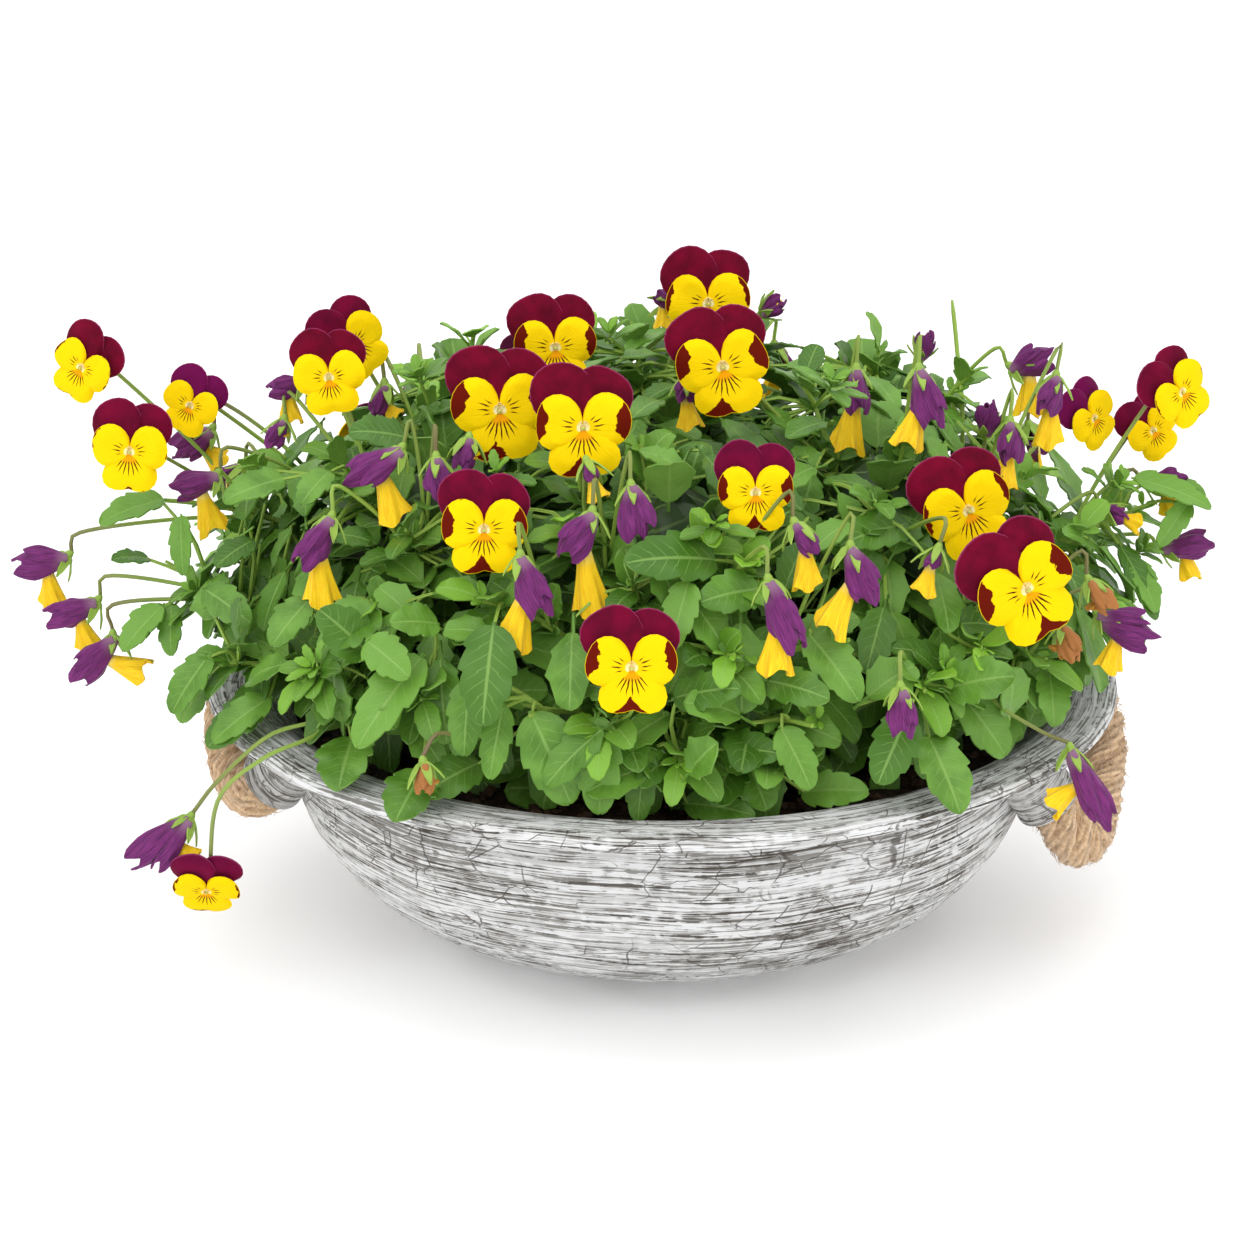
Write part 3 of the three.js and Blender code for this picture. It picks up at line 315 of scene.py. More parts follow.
@dataclass
class MeshMaker:
    """Gathers points and faces in millimetres and makes one mesh of them.

    Each point has a place on its own leaf, petal or wall, along and across it, and a tone of four numbers,
    the last of which is 1 on the upper side of a sheet and 0 on its lower side.
    """

    points: list[Array] = field(default_factory=list)
    places: list[Array] = field(default_factory=list)
    tones: list[Array] = field(default_factory=list)
    faces: list[Array] = field(default_factory=list)
    finishes: list[Array] = field(default_factory=list)
    count: int = 0

    def add(self, points: Array, faces: Array, places: Array, tones: Array, finish: int = 0) -> None:
        """Adds points and the faces between them.

        Args:
            points: Points in millimetres, one a row.
            faces: Rows of four numbers of those points, with the last one twice for three-sided faces.
            places: Where each point lies along and across its own form.
            tones: Four numbers for each point, or four for all.
            finish: Which of the mesh's finishes the faces have.
        """
        self.points.append(points)
        self.places.append(places)
        self.tones.append(np.broadcast_to(np.asarray(tones, dtype=float), (len(points), 4)))
        self.faces.append(faces + self.count)
        self.finishes.append(np.full(len(faces), finish))
        self.count += len(points)

    def add_sheet(self, middle: Array, thickness: float, places: Array, tone: Triple, finish: int = 0) -> None:
        """Adds a thin closed sheet around a grid of points.

        Args:
            middle: The middle surface, as rows and columns of points.
            thickness: How thick the sheet is.
            places: Where each point lies along and across the sheet.
            tone: Three numbers for the whole sheet.
            finish: Which of the mesh's finishes the sheet has.
        """
        normals = np.cross(np.gradient(middle, axis=1), np.gradient(middle, axis=0))
        normals /= np.maximum(np.linalg.norm(normals, axis=2), 1e-9)[:, :, None]
        number = middle.shape[0] * middle.shape[1]
        index = np.arange(number).reshape(middle.shape[:2])
        top = np.stack([index[:-1, :-1], index[:-1, 1:], index[1:, 1:], index[1:, :-1]], axis=2).reshape(-1, 4)
        loop = np.concatenate([index[0], index[1:, -1], index[-1, -2::-1], index[-2:0:-1, 0]])
        ahead = np.roll(loop, -1)
        rim = np.stack([ahead, loop, loop + number, ahead + number], axis=1)
        faces = np.vstack([top, top[:, ::-1] + number, rim])
        lift = normals * thickness / 2
        points = np.vstack([(middle + lift).reshape(-1, 3), (middle - lift).reshape(-1, 3)])
        tones = np.repeat([[*tone, 1.0], [*tone, 0.0]], number, axis=0)
        self.add(points, faces, np.tile(places.reshape(-1, 2), (2, 1)), tones, finish)

    def add_tube(self, path: Array, radii: Array, sides: int, tone: Triple, finish: int = 0) -> None:
        """Adds a closed tube along a path.

        Args:
            path: The points of the path, one a row.
            radii: The radius at each point.
            sides: How many sides the tube has.
            tone: Three numbers for the whole tube.
            finish: Which of the mesh's finishes the tube has.
        """
        _, first, second = frames_along(path)
        turns = full_turn(sides)
        ring = np.cos(turns)[None, :, None] * first[:, None] + np.sin(turns)[None, :, None] * second[:, None]
        points = path[:, None] + ring * radii[:, None, None]
        places = paired(np.linspace(0, 1, len(path))[:, None], turns / math.pi - 1)
        self.add_rings(points, places, (*tone, 1.0), finish)

    def add_rings(self, rings: Array, places: Array, tones: Array, finish: int = 0) -> None:
        """Adds a closed body through rings of points.

        Args:
            rings: The rings, each with the same number of points.
            places: Where each point lies along and round the body.
            tones: Four numbers for each point, or four for all.
            finish: Which of the mesh's finishes the body has.
        """
        index = np.arange(rings.shape[0] * rings.shape[1]).reshape(rings.shape[:2])
        ahead = np.roll(index, -1, axis=1)
        walls = np.stack([index[:-1], ahead[:-1], ahead[1:], index[1:]], axis=2).reshape(-1, 4)
        middles = np.broadcast_to([[index.size], [index.size + 1]], (2, rings.shape[1]))
        start = np.stack([middles[0], ahead[0], index[0], index[0]], axis=1)
        end = np.stack([middles[1], index[-1], ahead[-1], ahead[-1]], axis=1)
        points = np.vstack([rings.reshape(-1, 3), rings[0].mean(axis=0), rings[-1].mean(axis=0)])
        flat = places.reshape(-1, 2)
        places = np.vstack([flat, flat[:1], flat[-1:]])
        if np.ndim(tones) > 1:
            tones = np.vstack([tones, tones[:1], tones[-1:]])
        self.add(points, np.vstack([walls, start, end]), places, tones, finish)

    def make(self, name: str, node: str, slot: str, materials: list[Material], crease: float) -> bpy.types.Object:
        """Makes the object.

        Args:
            name: The name of the piece.
            node: The node of the solid model that it stands for.
            slot: What its finish is called; it is not used.
            materials: Its finishes, in the order of their numbers.
            crease: Edges that turn more than these degrees stay sharp.

        Returns:
            The new object, linked to the scene.
        """
        points = np.vstack(self.points) * MM
        faces = [row[:3] if row[2] == row[3] else row for rows in self.faces for row in rows.tolist()]
        mesh = bpy.data.meshes.new(name)
        mesh.from_pydata(points.tolist(), [], faces)
        mesh.polygons.foreach_set("material_index", np.concatenate(self.finishes).astype(np.int32))
        corners = np.empty(len(mesh.loops), dtype=np.int32)
        mesh.loops.foreach_get("vertex_index", corners)
        layer = mesh.uv_layers.new(name="place")
        layer.data.foreach_set("uv", np.vstack(self.places)[corners].astype(np.float32).ravel())
        tone = mesh.color_attributes.new("tone", "FLOAT_COLOR", "POINT")
        tone.data.foreach_set("color", np.vstack(self.tones).astype(np.float32).ravel())
        for material in materials:
            mesh.materials.append(material)
        mesh.shade_smooth()
        mesh.set_sharp_from_angle(angle=math.radians(crease))
        mesh.update()
        made = placed(name, mesh)
        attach(made, BODY)
        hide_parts(node)
        log.info("%s: %d points, %d faces", name, len(mesh.vertices), len(mesh.polygons))
        return made


class Side(Enum):
    """The two kinds of petal that a lower layer has."""

    LATERAL = 0.0
    BOTTOM = 1.0


class Green(IntEnum):
    """The order of the finishes of a plant's greenery."""

    LEAF = 0
    STEM = 1


class Face(IntEnum):
    """The order of the finishes of a bloom's lower petals and throat."""

    PETAL = 0
    BEARD = 1
    STIGMA = 2


@dataclass(frozen=True)
class Pattern:
    """A value that varies over a surface, with the sums that make new ones of it."""

    shading: Shading
    socket: bpy.types.NodeSocket

    def __add__(self, other: Pattern | float) -> Pattern:
        """Adds another pattern or a number."""
        return self.shading.math("ADD", self, other)

    def __sub__(self, other: Pattern | float) -> Pattern:
        """Takes another pattern or a number away."""
        return self.shading.math("SUBTRACT", self, other)

    def __rsub__(self, other: float) -> Pattern:
        """Takes the pattern away from a number."""
        return self.shading.math("SUBTRACT", other, self)

    def __mul__(self, other: Pattern | float) -> Pattern:
        """Multiplies by another pattern or a number."""
        return self.shading.math("MULTIPLY", self, other)

    def __abs__(self) -> Pattern:
        """Drops the sign."""
        return self.shading.math("ABSOLUTE", self)

    def fraction(self) -> Pattern:
        """Gives what is left above the whole number below."""
        return self.shading.math("FRACT", self)

    def sine(self) -> Pattern:
        """Gives the sine."""
        return self.shading.math("SINE", self)

    def largest(self, other: Pattern) -> Pattern:
        """Gives the larger one of two patterns."""
        return self.shading.math("MAXIMUM", self, other)

    def smooth(self, low: float, high: float) -> Pattern:
        """Steps softly from 0 to 1.

        Args:
            low: Where the step starts.
            high: Where it ends, which may be lower than its start.

        Returns:
            The step.
        """
        falls = high < low
        ends = {"From Min": min(low, high), "From Max": max(low, high)}
        steps = {"To Min": float(falls), "To Max": float(not falls)}
        inputs = {"Value": self, **ends, **steps}
        return self.shading.node("MapRange", inputs, "Result", interpolation_type="SMOOTHSTEP")


class Shading:
    """The node tree of one material, built up a node at a time."""

    def __init__(self, name: str, roughness: float, specular: float, sheen: float = 0.0) -> None:
        """Starts a material with even gloss.

        Args:
            name: The name of the material.
            roughness: How rough the surface is, all over.
            specular: How strongly it mirrors the light, all over.
            sheen: How much soft light its fibres or hairs catch, all over.
        """
        self.material = bpy.data.materials.new(name)
        self.material.use_nodes = True
        self.tree = self.material.node_tree
        self.shader = self.tree.nodes["Principled BSDF"]
        self.shader.inputs["Roughness"].default_value = roughness
        self.shader.inputs["Specular IOR Level"].default_value = specular
        self.shader.inputs["Sheen Weight"].default_value = sheen
        self.shader.inputs["Sheen Roughness"].default_value = 0.4

    def feed(self, socket: bpy.types.NodeSocket, value: Pattern | float | Colour) -> None:
        """Links or sets one input.

        Args:
            socket: The input.
            value: A pattern, or a number or colour.
        """
        if isinstance(value, Pattern):
            self.tree.links.new(value.socket, socket)
        elif isinstance(value, tuple):
            socket.default_value = (*value, 1.0) if len(socket.default_value) == 4 else value
        else:
            socket.default_value = value

    def node(self, kind: str, inputs: dict, output: int | str = 0, **settings: str) -> Pattern:
        """Adds one node.

        Args:
            kind: The end of the name of its type.
            inputs: What goes into it, by the number or name of the input.
            output: The number or name of the output that is wanted.
            **settings: The node's own settings.

        Returns:
            What comes out.
        """
        node = self.tree.nodes.new("ShaderNode" + kind)
        for name, setting in settings.items():
            setattr(node, name, setting)
        for key, value in inputs.items():
            self.feed(node.inputs[key], value)
        return Pattern(self, node.outputs[output])

    def math(self, operation: str, *values: Pattern | float) -> Pattern:
        """Works out one sum of one or two values."""
        return self.node("Math", dict(enumerate(values)), operation=operation)

    def layers(self, colour: Pattern | Colour, *over: tuple[Pattern, Pattern | Colour]) -> Pattern:
        """Lays colours over a first one.

        Args:
            colour: The first colour.
            *over: For each next one, how much of it there is, and the colour.

        Returns:
            The colour that comes of it.
        """
        for part, paint in over:
            colour = self.node("Mix", {0: part, 6: colour, 7: paint}, 2, data_type="RGBA")
        return colour

    def noise(self, where: Pattern, scale: float, detail: float = 3.0, stretch: Triple = (1.0, 1.0, 1.0)) -> Pattern:
        """Makes a cloudy pattern from 0 to 1, as fine as its scale, and finer along each axis by the stretch."""
        spot = self.node("Mapping", {"Vector": where, "Scale": stretch}, "Vector")
        return self.node("TexNoise", {"Scale": scale, "Detail": detail, "Vector": spot}, "Fac")

    def cells(self, where: Pattern, stretch: Triple) -> Pattern:
        """Measures how far each place is from the edge of its cell in a cracked pattern."""
        spot = self.node("Mapping", {"Vector": where, "Scale": stretch}, "Vector")
        return self.node("TexVoronoi", {"Scale": 1.0, "Vector": spot}, "Distance", feature="DISTANCE_TO_EDGE")

    def split(self, kind: str, whole: Pattern) -> list[Pattern]:
        """Takes a place (XYZ) or a colour (Color) apart.

        Args:
            kind: XYZ or Color.
            whole: The place or the colour.

        Returns:
            Its three numbers.
        """
        node = self.tree.nodes.new("ShaderNodeSeparate" + kind)
        self.feed(node.inputs[0], whole)
        return [Pattern(self, socket) for socket in node.outputs]

    def object_place(self) -> Pattern:
        """Gives the place in the object, in metres."""
        return self.node("TexCoord", {}, "Object")

    def place(self) -> list[Pattern]:
        """Gives the places along and across the leaf, petal or wall."""
        return self.split("XYZ", self.node("UVMap", {}, "UV", uv_map="place"))[:2]

    def tone(self) -> list[Pattern]:
        """Gives the four numbers of the tone."""
        colour, last = (self.node("VertexColor", {}, name, layer_name="tone") for name in ("Color", "Alpha"))
        return [*self.split("Color", colour), last]

    def joined(self, *numbers: Pattern) -> Pattern:
        """Joins three numbers to a place."""
        return self.node("CombineXYZ", dict(enumerate(numbers)))

    def finish(self, colour: Pattern, height: Pattern, depth: float, strength: float = 0.5) -> Material:
        """Sets the colour, raises the surface where a pattern is high and hands the material over.

        Args:
            colour: The colour of the surface.
            height: The pattern.
            depth: How far its full height reaches, in metres.
            strength: How strongly it shows.

        Returns:
            The finished material.
        """
        normal = self.node("Bump", {"Strength": strength, "Distance": depth, "Height": height}, "Normal")
        self.feed(self.shader.inputs["Normal"], normal)
        self.feed(self.shader.inputs["Base Color"], colour)
        return self.material


@dataclass(frozen=True)
class LeafFinish:
    """Green leaves: darker inside the mound as painted shade, yellow-green when young, with paler veins and
    undersides.
    """

    # The darkest green is painted shade, for leaves that get little light inside the mound
    dark: Colour = (0.014, 0.042, 0.002)
    deep: Colour = (0.04, 0.125, 0.006)
    green: Colour = (0.075, 0.195, 0.013)
    bright: Colour = (0.145, 0.32, 0.038)
    young: Colour = (0.24, 0.5, 0.03)
    under: Colour = (0.18, 0.33, 0.065)
    vein: Colour = (0.28, 0.47, 0.11)

    def material(self) -> Material:
        """Makes the material of the leaves.

        Returns:
            The material.
        """
        shading = Shading("pansy_leaf", 0.42, 0.36)
        along, across = shading.place()
        own, youth, light, upper = shading.tone()
        far = abs(across)
        cloud = shading.noise(shading.object_place(), 90.0)
        wave = abs((along * 8.0 - far * 1.7).fraction() - 0.5)
        side_veins = wave.smooth(0.09, 0.02) * far.smooth(1.0, 0.3)
        veins = far.smooth(0.1, 0.03).largest(side_veins * 0.6)
        colour = shading.layers(
            self.green,
            (cloud.smooth(0.3, 0.7), self.bright),
            (own.smooth(0.55, 1.0), self.bright),
            (own.smooth(0.5, 0.05) * 0.8, self.deep),
            # Painted shade: leaves that get less light are mixed towards the darkest green
            (light.smooth(0.75, 0.0), self.dark),
            (youth.smooth(0.35, 1.0), self.young),
            (veins * 0.5, self.vein),
            ((1.0 - upper) * 0.55, self.under),
        )
        return shading.finish(colour, cloud * 0.25 - veins, 0.0003)


@dataclass(frozen=True)
class StemFinish:
    """Pale green stems, stalks and sepals, a little purple near the flowers, and darker green as painted shade where
    they get less light.
    """

    pale: Colour = (0.3, 0.46, 0.07)
    # The green serves both the mottle and the painted shade of stems that get less light
    green: Colour = (0.12, 0.26, 0.025)
    flush: Colour = (0.16, 0.1, 0.06)

    def material(self) -> Material:
        """Makes the material of stems, stalks and sepals.

        Returns:
            The material.
        """
        shading = Shading("pansy_stem", 0.5, 0.35)
        along, across = shading.place()
        own, flush, light, _ = shading.tone()
        cloud = shading.noise(shading.object_place(), 120.0)
        colour = shading.layers(
            self.pale,
            (cloud * own, self.green),
            # Painted shade: stems that get less light are mixed towards the green
            (light.smooth(0.7, 0.0), self.green),
            (flush * along.smooth(0.3, 1.0), self.flush),
        )
        return shading.finish(colour, (across * 18.0).sine() + cloud, 0.0001, 0.4)


@dataclass(frozen=True)
class MaroonFinish:
    """Velvet upper petals: deep maroon, magenta on some, with a fine lighter edge and faint veins."""

    deep: Colour = (0.07, 0.001, 0.009)
    red: Colour = (0.17, 0.001, 0.02)
    magenta: Colour = (0.14, 0.003, 0.07)
    edge: Colour = (0.42, 0.07, 0.2)
    back: Colour = (0.17, 0.02, 0.09)

    def material(self) -> Material:
        """Makes the material of the upper petals.

        Returns:
            The material.
        """
        shading = Shading("maroon_petal", 0.8, 0.08, 0.04)
        along, across = shading.place()
        own, magenta, _, upper = shading.tone()
        cloud = shading.noise(shading.object_place(), 140.0)
        fan = shading.noise(shading.joined(across * 9.0, along, own), 3.0, 2.0)
        rim = abs(across).smooth(0.96, 1.0).largest(along.smooth(0.97, 1.0))
        colour = shading.layers(
            self.deep,
            (cloud.smooth(0.25, 0.75), self.red),
            (fan * 0.5, self.red),
            (magenta, self.magenta),
            (along.smooth(0.35, 0.0), self.deep),
            (rim * 0.5, self.edge),
            ((1.0 - upper) * 0.7, self.back),
        )
        return shading.finish(colour, fan + cloud * 0.3, 0.0004, 0.6)


@dataclass(frozen=True)
class YellowFinish:
    """Yellow lower petals: orange throat, dark whiskers, and brown blotches at the edges of some."""

    yellow: Colour = (0.93, 0.64, 0.001)
    warm: Colour = (0.93, 0.58, 0.002)
    throat: Colour = (0.93, 0.37, 0.002)
    cream: Colour = (0.95, 0.86, 0.42)
    whisker: Colour = (0.075, 0.01, 0.002)
    blotch: Colour = (0.125, 0.006, 0.0005)
    back: Colour = (0.86, 0.56, 0.02)

    def material(self) -> Material:
        """Makes the material of the lower petals.

        Returns:
            The material.
        """
        shading = Shading("yellow_petal", 0.7, 0.06)
        along, across = shading.place()
        own, amount, kind, upper = shading.tone()
        cloud = shading.noise(shading.object_place(), 110.0)
        fan = shading.noise(shading.joined(across * 8.0, along, own), 3.0, 2.0)
        colour = shading.layers(
            self.yellow,
            (fan.smooth(0.35, 0.8) * 0.5, self.warm),
            (along.smooth(0.34, 0.14) * (kind + 0.12) * abs(across).smooth(0.75, 0.4), self.throat),
            (along.smooth(0.12, 0.08) * (1.0 - kind), self.cream),
            (self.whiskers(shading, along, across, own, kind), self.whisker),
            (self.blotches(shading, along, across, own, kind, amount), self.blotch),
            ((1.0 - upper) * 0.5, self.back),
        )
        return shading.finish(colour, fan + cloud * 0.3, 0.0004)

    def whiskers(self, shading: Shading, along: Pattern, across: Pattern, own: Pattern, kind: Pattern) -> Pattern:
        """Draws the dark lines that fan out from the throat.

        Args:
            shading: The material.
            along: How far out on the petal.
            across: How far to its side.
            own: The petal's own number.
            kind: 0 on a side petal and 1 on the bottom one.

        Returns:
            1 on a whisker and 0 off it.
        """
        far = abs(across)
        wobble = (shading.noise(shading.joined(along, own, across), 6.0, 1.0) - 0.5) * 0.35
        phase = (across * (kind * 2.1 + 4.5) + kind * 0.5 + 100.0 + wobble).fraction()
        away = abs(phase - 0.5) * along
        reach = kind * 0.16 + 0.54 - far * 0.35
        width = (reach - along).smooth(0.0, 0.22) * (kind * 0.014 + 0.048)
        return (width - away).smooth(-0.004, 0.012) * (far.smooth(0.53, 0.5) * along.smooth(0.16, 0.26))

    def blotches(self, shading: Shading, along: Pattern, across: Pattern, own: Pattern, kind: Pattern,
                 amount: Pattern) -> Pattern:
        """Draws the brown patches at the outer ends of the side petals and the middle of the bottom one.

        Args:
            shading: The material.
            along: How far out on the petal.
            across: How far to its side.
            own: The petal's own number.
            kind: 0 on a side petal and 1 on the bottom one.
            amount: How much brown the bloom has.

        Returns:
            1 on a patch and 0 off it.
        """
        rough = (shading.noise(shading.joined(along, across, own), 7.0, 3.0) - 0.5) * 0.22
        beside = abs(across - (own - 0.2) * 0.2)
        left = 1.0 - along
        outer = beside.smooth(0.35, 0.14) * 0.34
        middle = (1.0 - beside * 4.2) * 0.46
        depth = (middle * kind + outer * (1.0 - kind)) * amount - left
        return (depth + rough).smooth(0.0, 0.02) * (amount.smooth(0.02, 0.08) * left.smooth(0.0, 0.02))


@dataclass(frozen=True)
class FoldedFinish:
    """Folded petals seen from behind: purple or yellow, with darker veins along them."""

    name: str
    light: Colour
    deep: Colour
    base: Colour
    withered: Colour = (0.42, 0.17, 0.03)

    def material(self) -> Material:
        """Makes the material of the folded petals.

        Returns:
            The material.
        """
        shading = Shading(self.name, 0.6, 0.25, 0.15)
        along, across = shading.place()
        own, wilted, _, _ = shading.tone()
        cloud = shading.noise(shading.object_place(), 130.0)
        stripes = shading.noise(shading.joined(across * 11.0, along, own), 3.5, 2.0)
        colour = shading.layers(
            self.light,
            (stripes.smooth(0.38, 0.66), self.deep),
            (cloud * 0.4, self.light),
            (along.smooth(0.35, 0.0), self.base),
            (wilted * 0.9, self.withered),
        )
        return shading.finish(colour, stripes + cloud, 0.0004)


@dataclass(frozen=True)
class PlainFinish:
    """A small form of one mottled colour: the tufts or the head in a bloom's throat."""

    name: str
    light: Colour
    deep: Colour

    def material(self) -> Material:
        """Makes the mottled material.

        Returns:
            The material.
        """
        shading = Shading(self.name, 0.7, 0.25)
        cloud = shading.noise(shading.object_place(), 400.0)
        return shading.finish(shading.layers(self.light, (cloud, self.deep)), cloud, 0.0002)


@dataclass(frozen=True)
class WhitewashFinish:
    """Brushed whitewash over a grey-brown body, worn in streaks round the bowl and finely cracked.

    The last fields say how fine each pattern is across the bowl and down its wall.
    """

    white: Colour = (0.715, 0.72, 0.72)
    wash: Colour = (0.53, 0.53, 0.525)
    grey: Colour = (0.15, 0.138, 0.12)
    brown: Colour = (0.055, 0.044, 0.033)
    sleeve: Colour = (0.2, 0.18, 0.155)
    hairs: Triple = (42.0, 42.0, 1300.0)
    lines: Triple = (26.0, 26.0, 1000.0)
    brush: Triple = (30.0, 30.0, 760.0)
    wear: Triple = (13.0, 13.0, 50.0)
    crazing: Triple = (52.0, 52.0, 90.0)

    def material(self) -> Material:
        """Makes the material of the bowl.

        Returns:
            The material.
        """
        shading = Shading("whitewashed_wood", 0.75, 0.25)
        place = shading.object_place()
        x, y, _ = shading.split("XYZ", place)
        down, _ = shading.place()
        _, bare, _, _ = shading.tone()
        wall = shading.joined(x, y, down + shading.noise(place, 9.0, 2.0) * 0.012)
        bent = shading.noise(place, 70.0, 3.0) * 0.012
        worn = shading.noise(wall, 1.0, 3.0, self.wear)
        loss = (shading.noise(place, 260.0, 3.0) - 0.5) * 0.22
        more = worn.smooth(0.5, 0.7) * 0.075 + loss
        brushed = (shading.noise(wall, 1.0, 4.0, self.brush) + more).smooth(0.46, 0.56)
        hair = (shading.noise(wall, 1.0, 4.0, self.hairs) + more).smooth(0.56, 0.57)
        line = (shading.noise(wall, 1.0, 4.0, self.lines) + more).smooth(0.625, 0.635)
        cracks = shading.cells(shading.joined(x + bent, y, down + bent), self.crazing)
        crack = cracks.smooth(0.018, 0.006) * worn.smooth(0.46, 0.52)
        colour = shading.layers(
            self.white,
            (brushed, self.wash),
            (hair * 0.8, self.grey),
            (line * 0.92, self.brown),
            (crack * 0.75, self.brown),
            (bare * 0.3, self.sleeve),
        )
        return shading.finish(colour, crack.largest(line.largest(hair * 0.6)) * -1.0, 0.0006, 0.7)


@dataclass(frozen=True)
class JuteFinish:
    """Tan jute: twisted fibres, with painted shade of deep brown in the grooves between the yarns, so the ridges
    look lighter.
    """

    light: Colour = (0.86, 0.64, 0.42)
    tan: Colour = (0.66, 0.44, 0.26)
    # The deep brown is painted shade for the grooves between the yarns
    deep: Colour = (0.24, 0.125, 0.055)

    def material(self) -> Material:
        """Makes the material of the rope handles.

        Returns:
            The material.
        """
        shading = Shading("jute_rope", 0.9, 0.15, 0.3)
        along, across = shading.place()
        own, groove, _, _ = shading.tone()
        fibre = shading.noise(shading.joined(across * 6.0 + along * 40.0, along * 8.0, own), 4.0, 4.0)
        cloud = shading.noise(shading.object_place(), 160.0)
        colour = shading.layers(
            self.light,
            (fibre.smooth(0.35, 0.65), self.tan),
            (cloud * 0.4, self.tan),
            # Painted shade: the grooves between the yarns are mixed towards the deep brown
            (groove * 0.75, self.deep),
        )
        return shading.finish(colour, fibre, 0.0006, 0.8)


@dataclass(frozen=True)
class SoilFinish:
    """Dark moist soil with bark chips of several browns."""

    black: Colour = (0.012, 0.008, 0.006)
    brown: Colour = (0.06, 0.034, 0.02)
    chip: Colour = (0.14, 0.08, 0.045)

    def material(self) -> Material:
        """Makes the material of the soil and its chips.

        Returns:
            The material.
        """
        shading = Shading("potting_soil", 0.88, 0.2)
        own, chip, _, _ = shading.tone()
        place = shading.object_place()
        coarse = shading.noise(place, 180.0, 5.0)
        fine = shading.noise(place, 700.0, 4.0)
        bark = shading.layers(self.brown, (own * fine, self.chip))
        colour = shading.layers(self.black, (coarse.smooth(0.35, 0.7), self.brown), (chip, bark))
        return shading.finish(colour, coarse + fine, 0.0012, 0.8)


def placed(name: str, data: bpy.types.ID) -> bpy.types.Object:
    """Makes an object of a mesh, a camera or a lamp, and links it to the scene.

    Args:
        name: The name of the object.
        data: What it is made of.

    Returns:
        The object.
    """
    made = bpy.data.objects.new(name, data)
    bpy.context.scene.collection.objects.link(made)
    return made


@dataclass(frozen=True)
class Studio:
    """The floor, the light and the camera at the photograph's angle."""

    eye: Triple = (-13.6, -1224.7, 549.7)
    aim: Triple = (-13.6, 0.0, 113.6)
    lens: float = 96.4
    sensor: float = 36.0
    floor_half: float = 6.0
    floor_white: float = 0.93
    floor_glow: float = 0.14
    lamps: tuple[tuple[str, Triple, float, float], ...] = (
        ("key", (-0.7, -1.1, 1.7), 2.0, 14.0),
        ("fill", (1.3, -1.2, 1.0), 1.6, 4.0),
        ("top", (0.2, 0.3, 1.9), 2.4, 9.0),
    )

    def build(self) -> None:
        """Makes the camera, the floor and the lights, and shows colours as they are."""
        bpy.context.scene.view_settings.view_transform = "Standard"
        self.camera()
        self.floor()
        self.world()
        for lamp in self.lamps:
            self.area_light(*lamp)

    def camera(self) -> None:
        """Makes the camera and makes it the scene's own."""
        data = bpy.data.cameras.new("camera")
        data.lens = self.lens
        data.sensor_width = self.sensor
        data.clip_end = 50.0
        camera = placed("camera", data)
        self.point_at(camera, point(self.eye) * MM, point(self.aim) * MM)
        bpy.context.scene.camera = camera

    def point_at(self, thing: bpy.types.Object, place: Array, aim: Array) -> None:
        """Places a camera or a lamp and points it.

        Args:
            thing: The camera or lamp.
            place: Where it stands, in metres.
            aim: What it points at, in metres.
        """
        thing.location = place
        x, y, z = aim - place
        thing.rotation_euler = (math.atan2(math.hypot(x, y), -z), 0.0, math.atan2(-x, y))

    def floor(self) -> None:
        """Makes the pale floor that the bowl stands on."""
        mesh = bpy.data.meshes.new("floor")
        half = self.floor_half
        corners = [(-half, -half, 0), (half, -half, 0), (half, half, 0), (-half, half, 0)]
        mesh.from_pydata(corners, [], [(0, 1, 2, 3)])
        shading = Shading("studio_floor", 0.9, 0.1)
        shading.feed(shading.shader.inputs["Base Color"], (self.floor_white,) * 3)
        shading.feed(shading.shader.inputs["Emission Color"], (1.0, 1.0, 1.0))
        shading.feed(shading.shader.inputs["Emission Strength"], self.floor_glow)
        mesh.materials.append(shading.material)
        placed("floor", mesh)

    def world(self) -> None:
        """Fills the surroundings with an even white."""
        world = bpy.data.worlds.new("studio")
        world.use_nodes = True
        background = world.node_tree.nodes["Background"]
        background.inputs["Color"].default_value = (1.0, 1.0, 1.0, 1.0)
        background.inputs["Strength"].default_value = 1.0
        bpy.context.scene.world = world

    def area_light(self, name: str, place: Triple, size: float, power: float) -> None:
        """Hangs a soft square lamp that shines on the mound.

        Args:
            name: The lamp's name.
            place: Where it hangs, in metres.
            size: The length of its side, in metres.
            power: Its power in watts.
        """
        data = bpy.data.lights.new(name, "AREA")
        data.size = size
        data.energy = power
        self.point_at(placed(name, data), point(place), UP * 0.12)


@dataclass(frozen=True)
class Track:
    """A line with its directions, those square to it, and how far along each point is."""

    points: Array
    tangents: Array
    first: Array
    second: Array
    travelled: Array


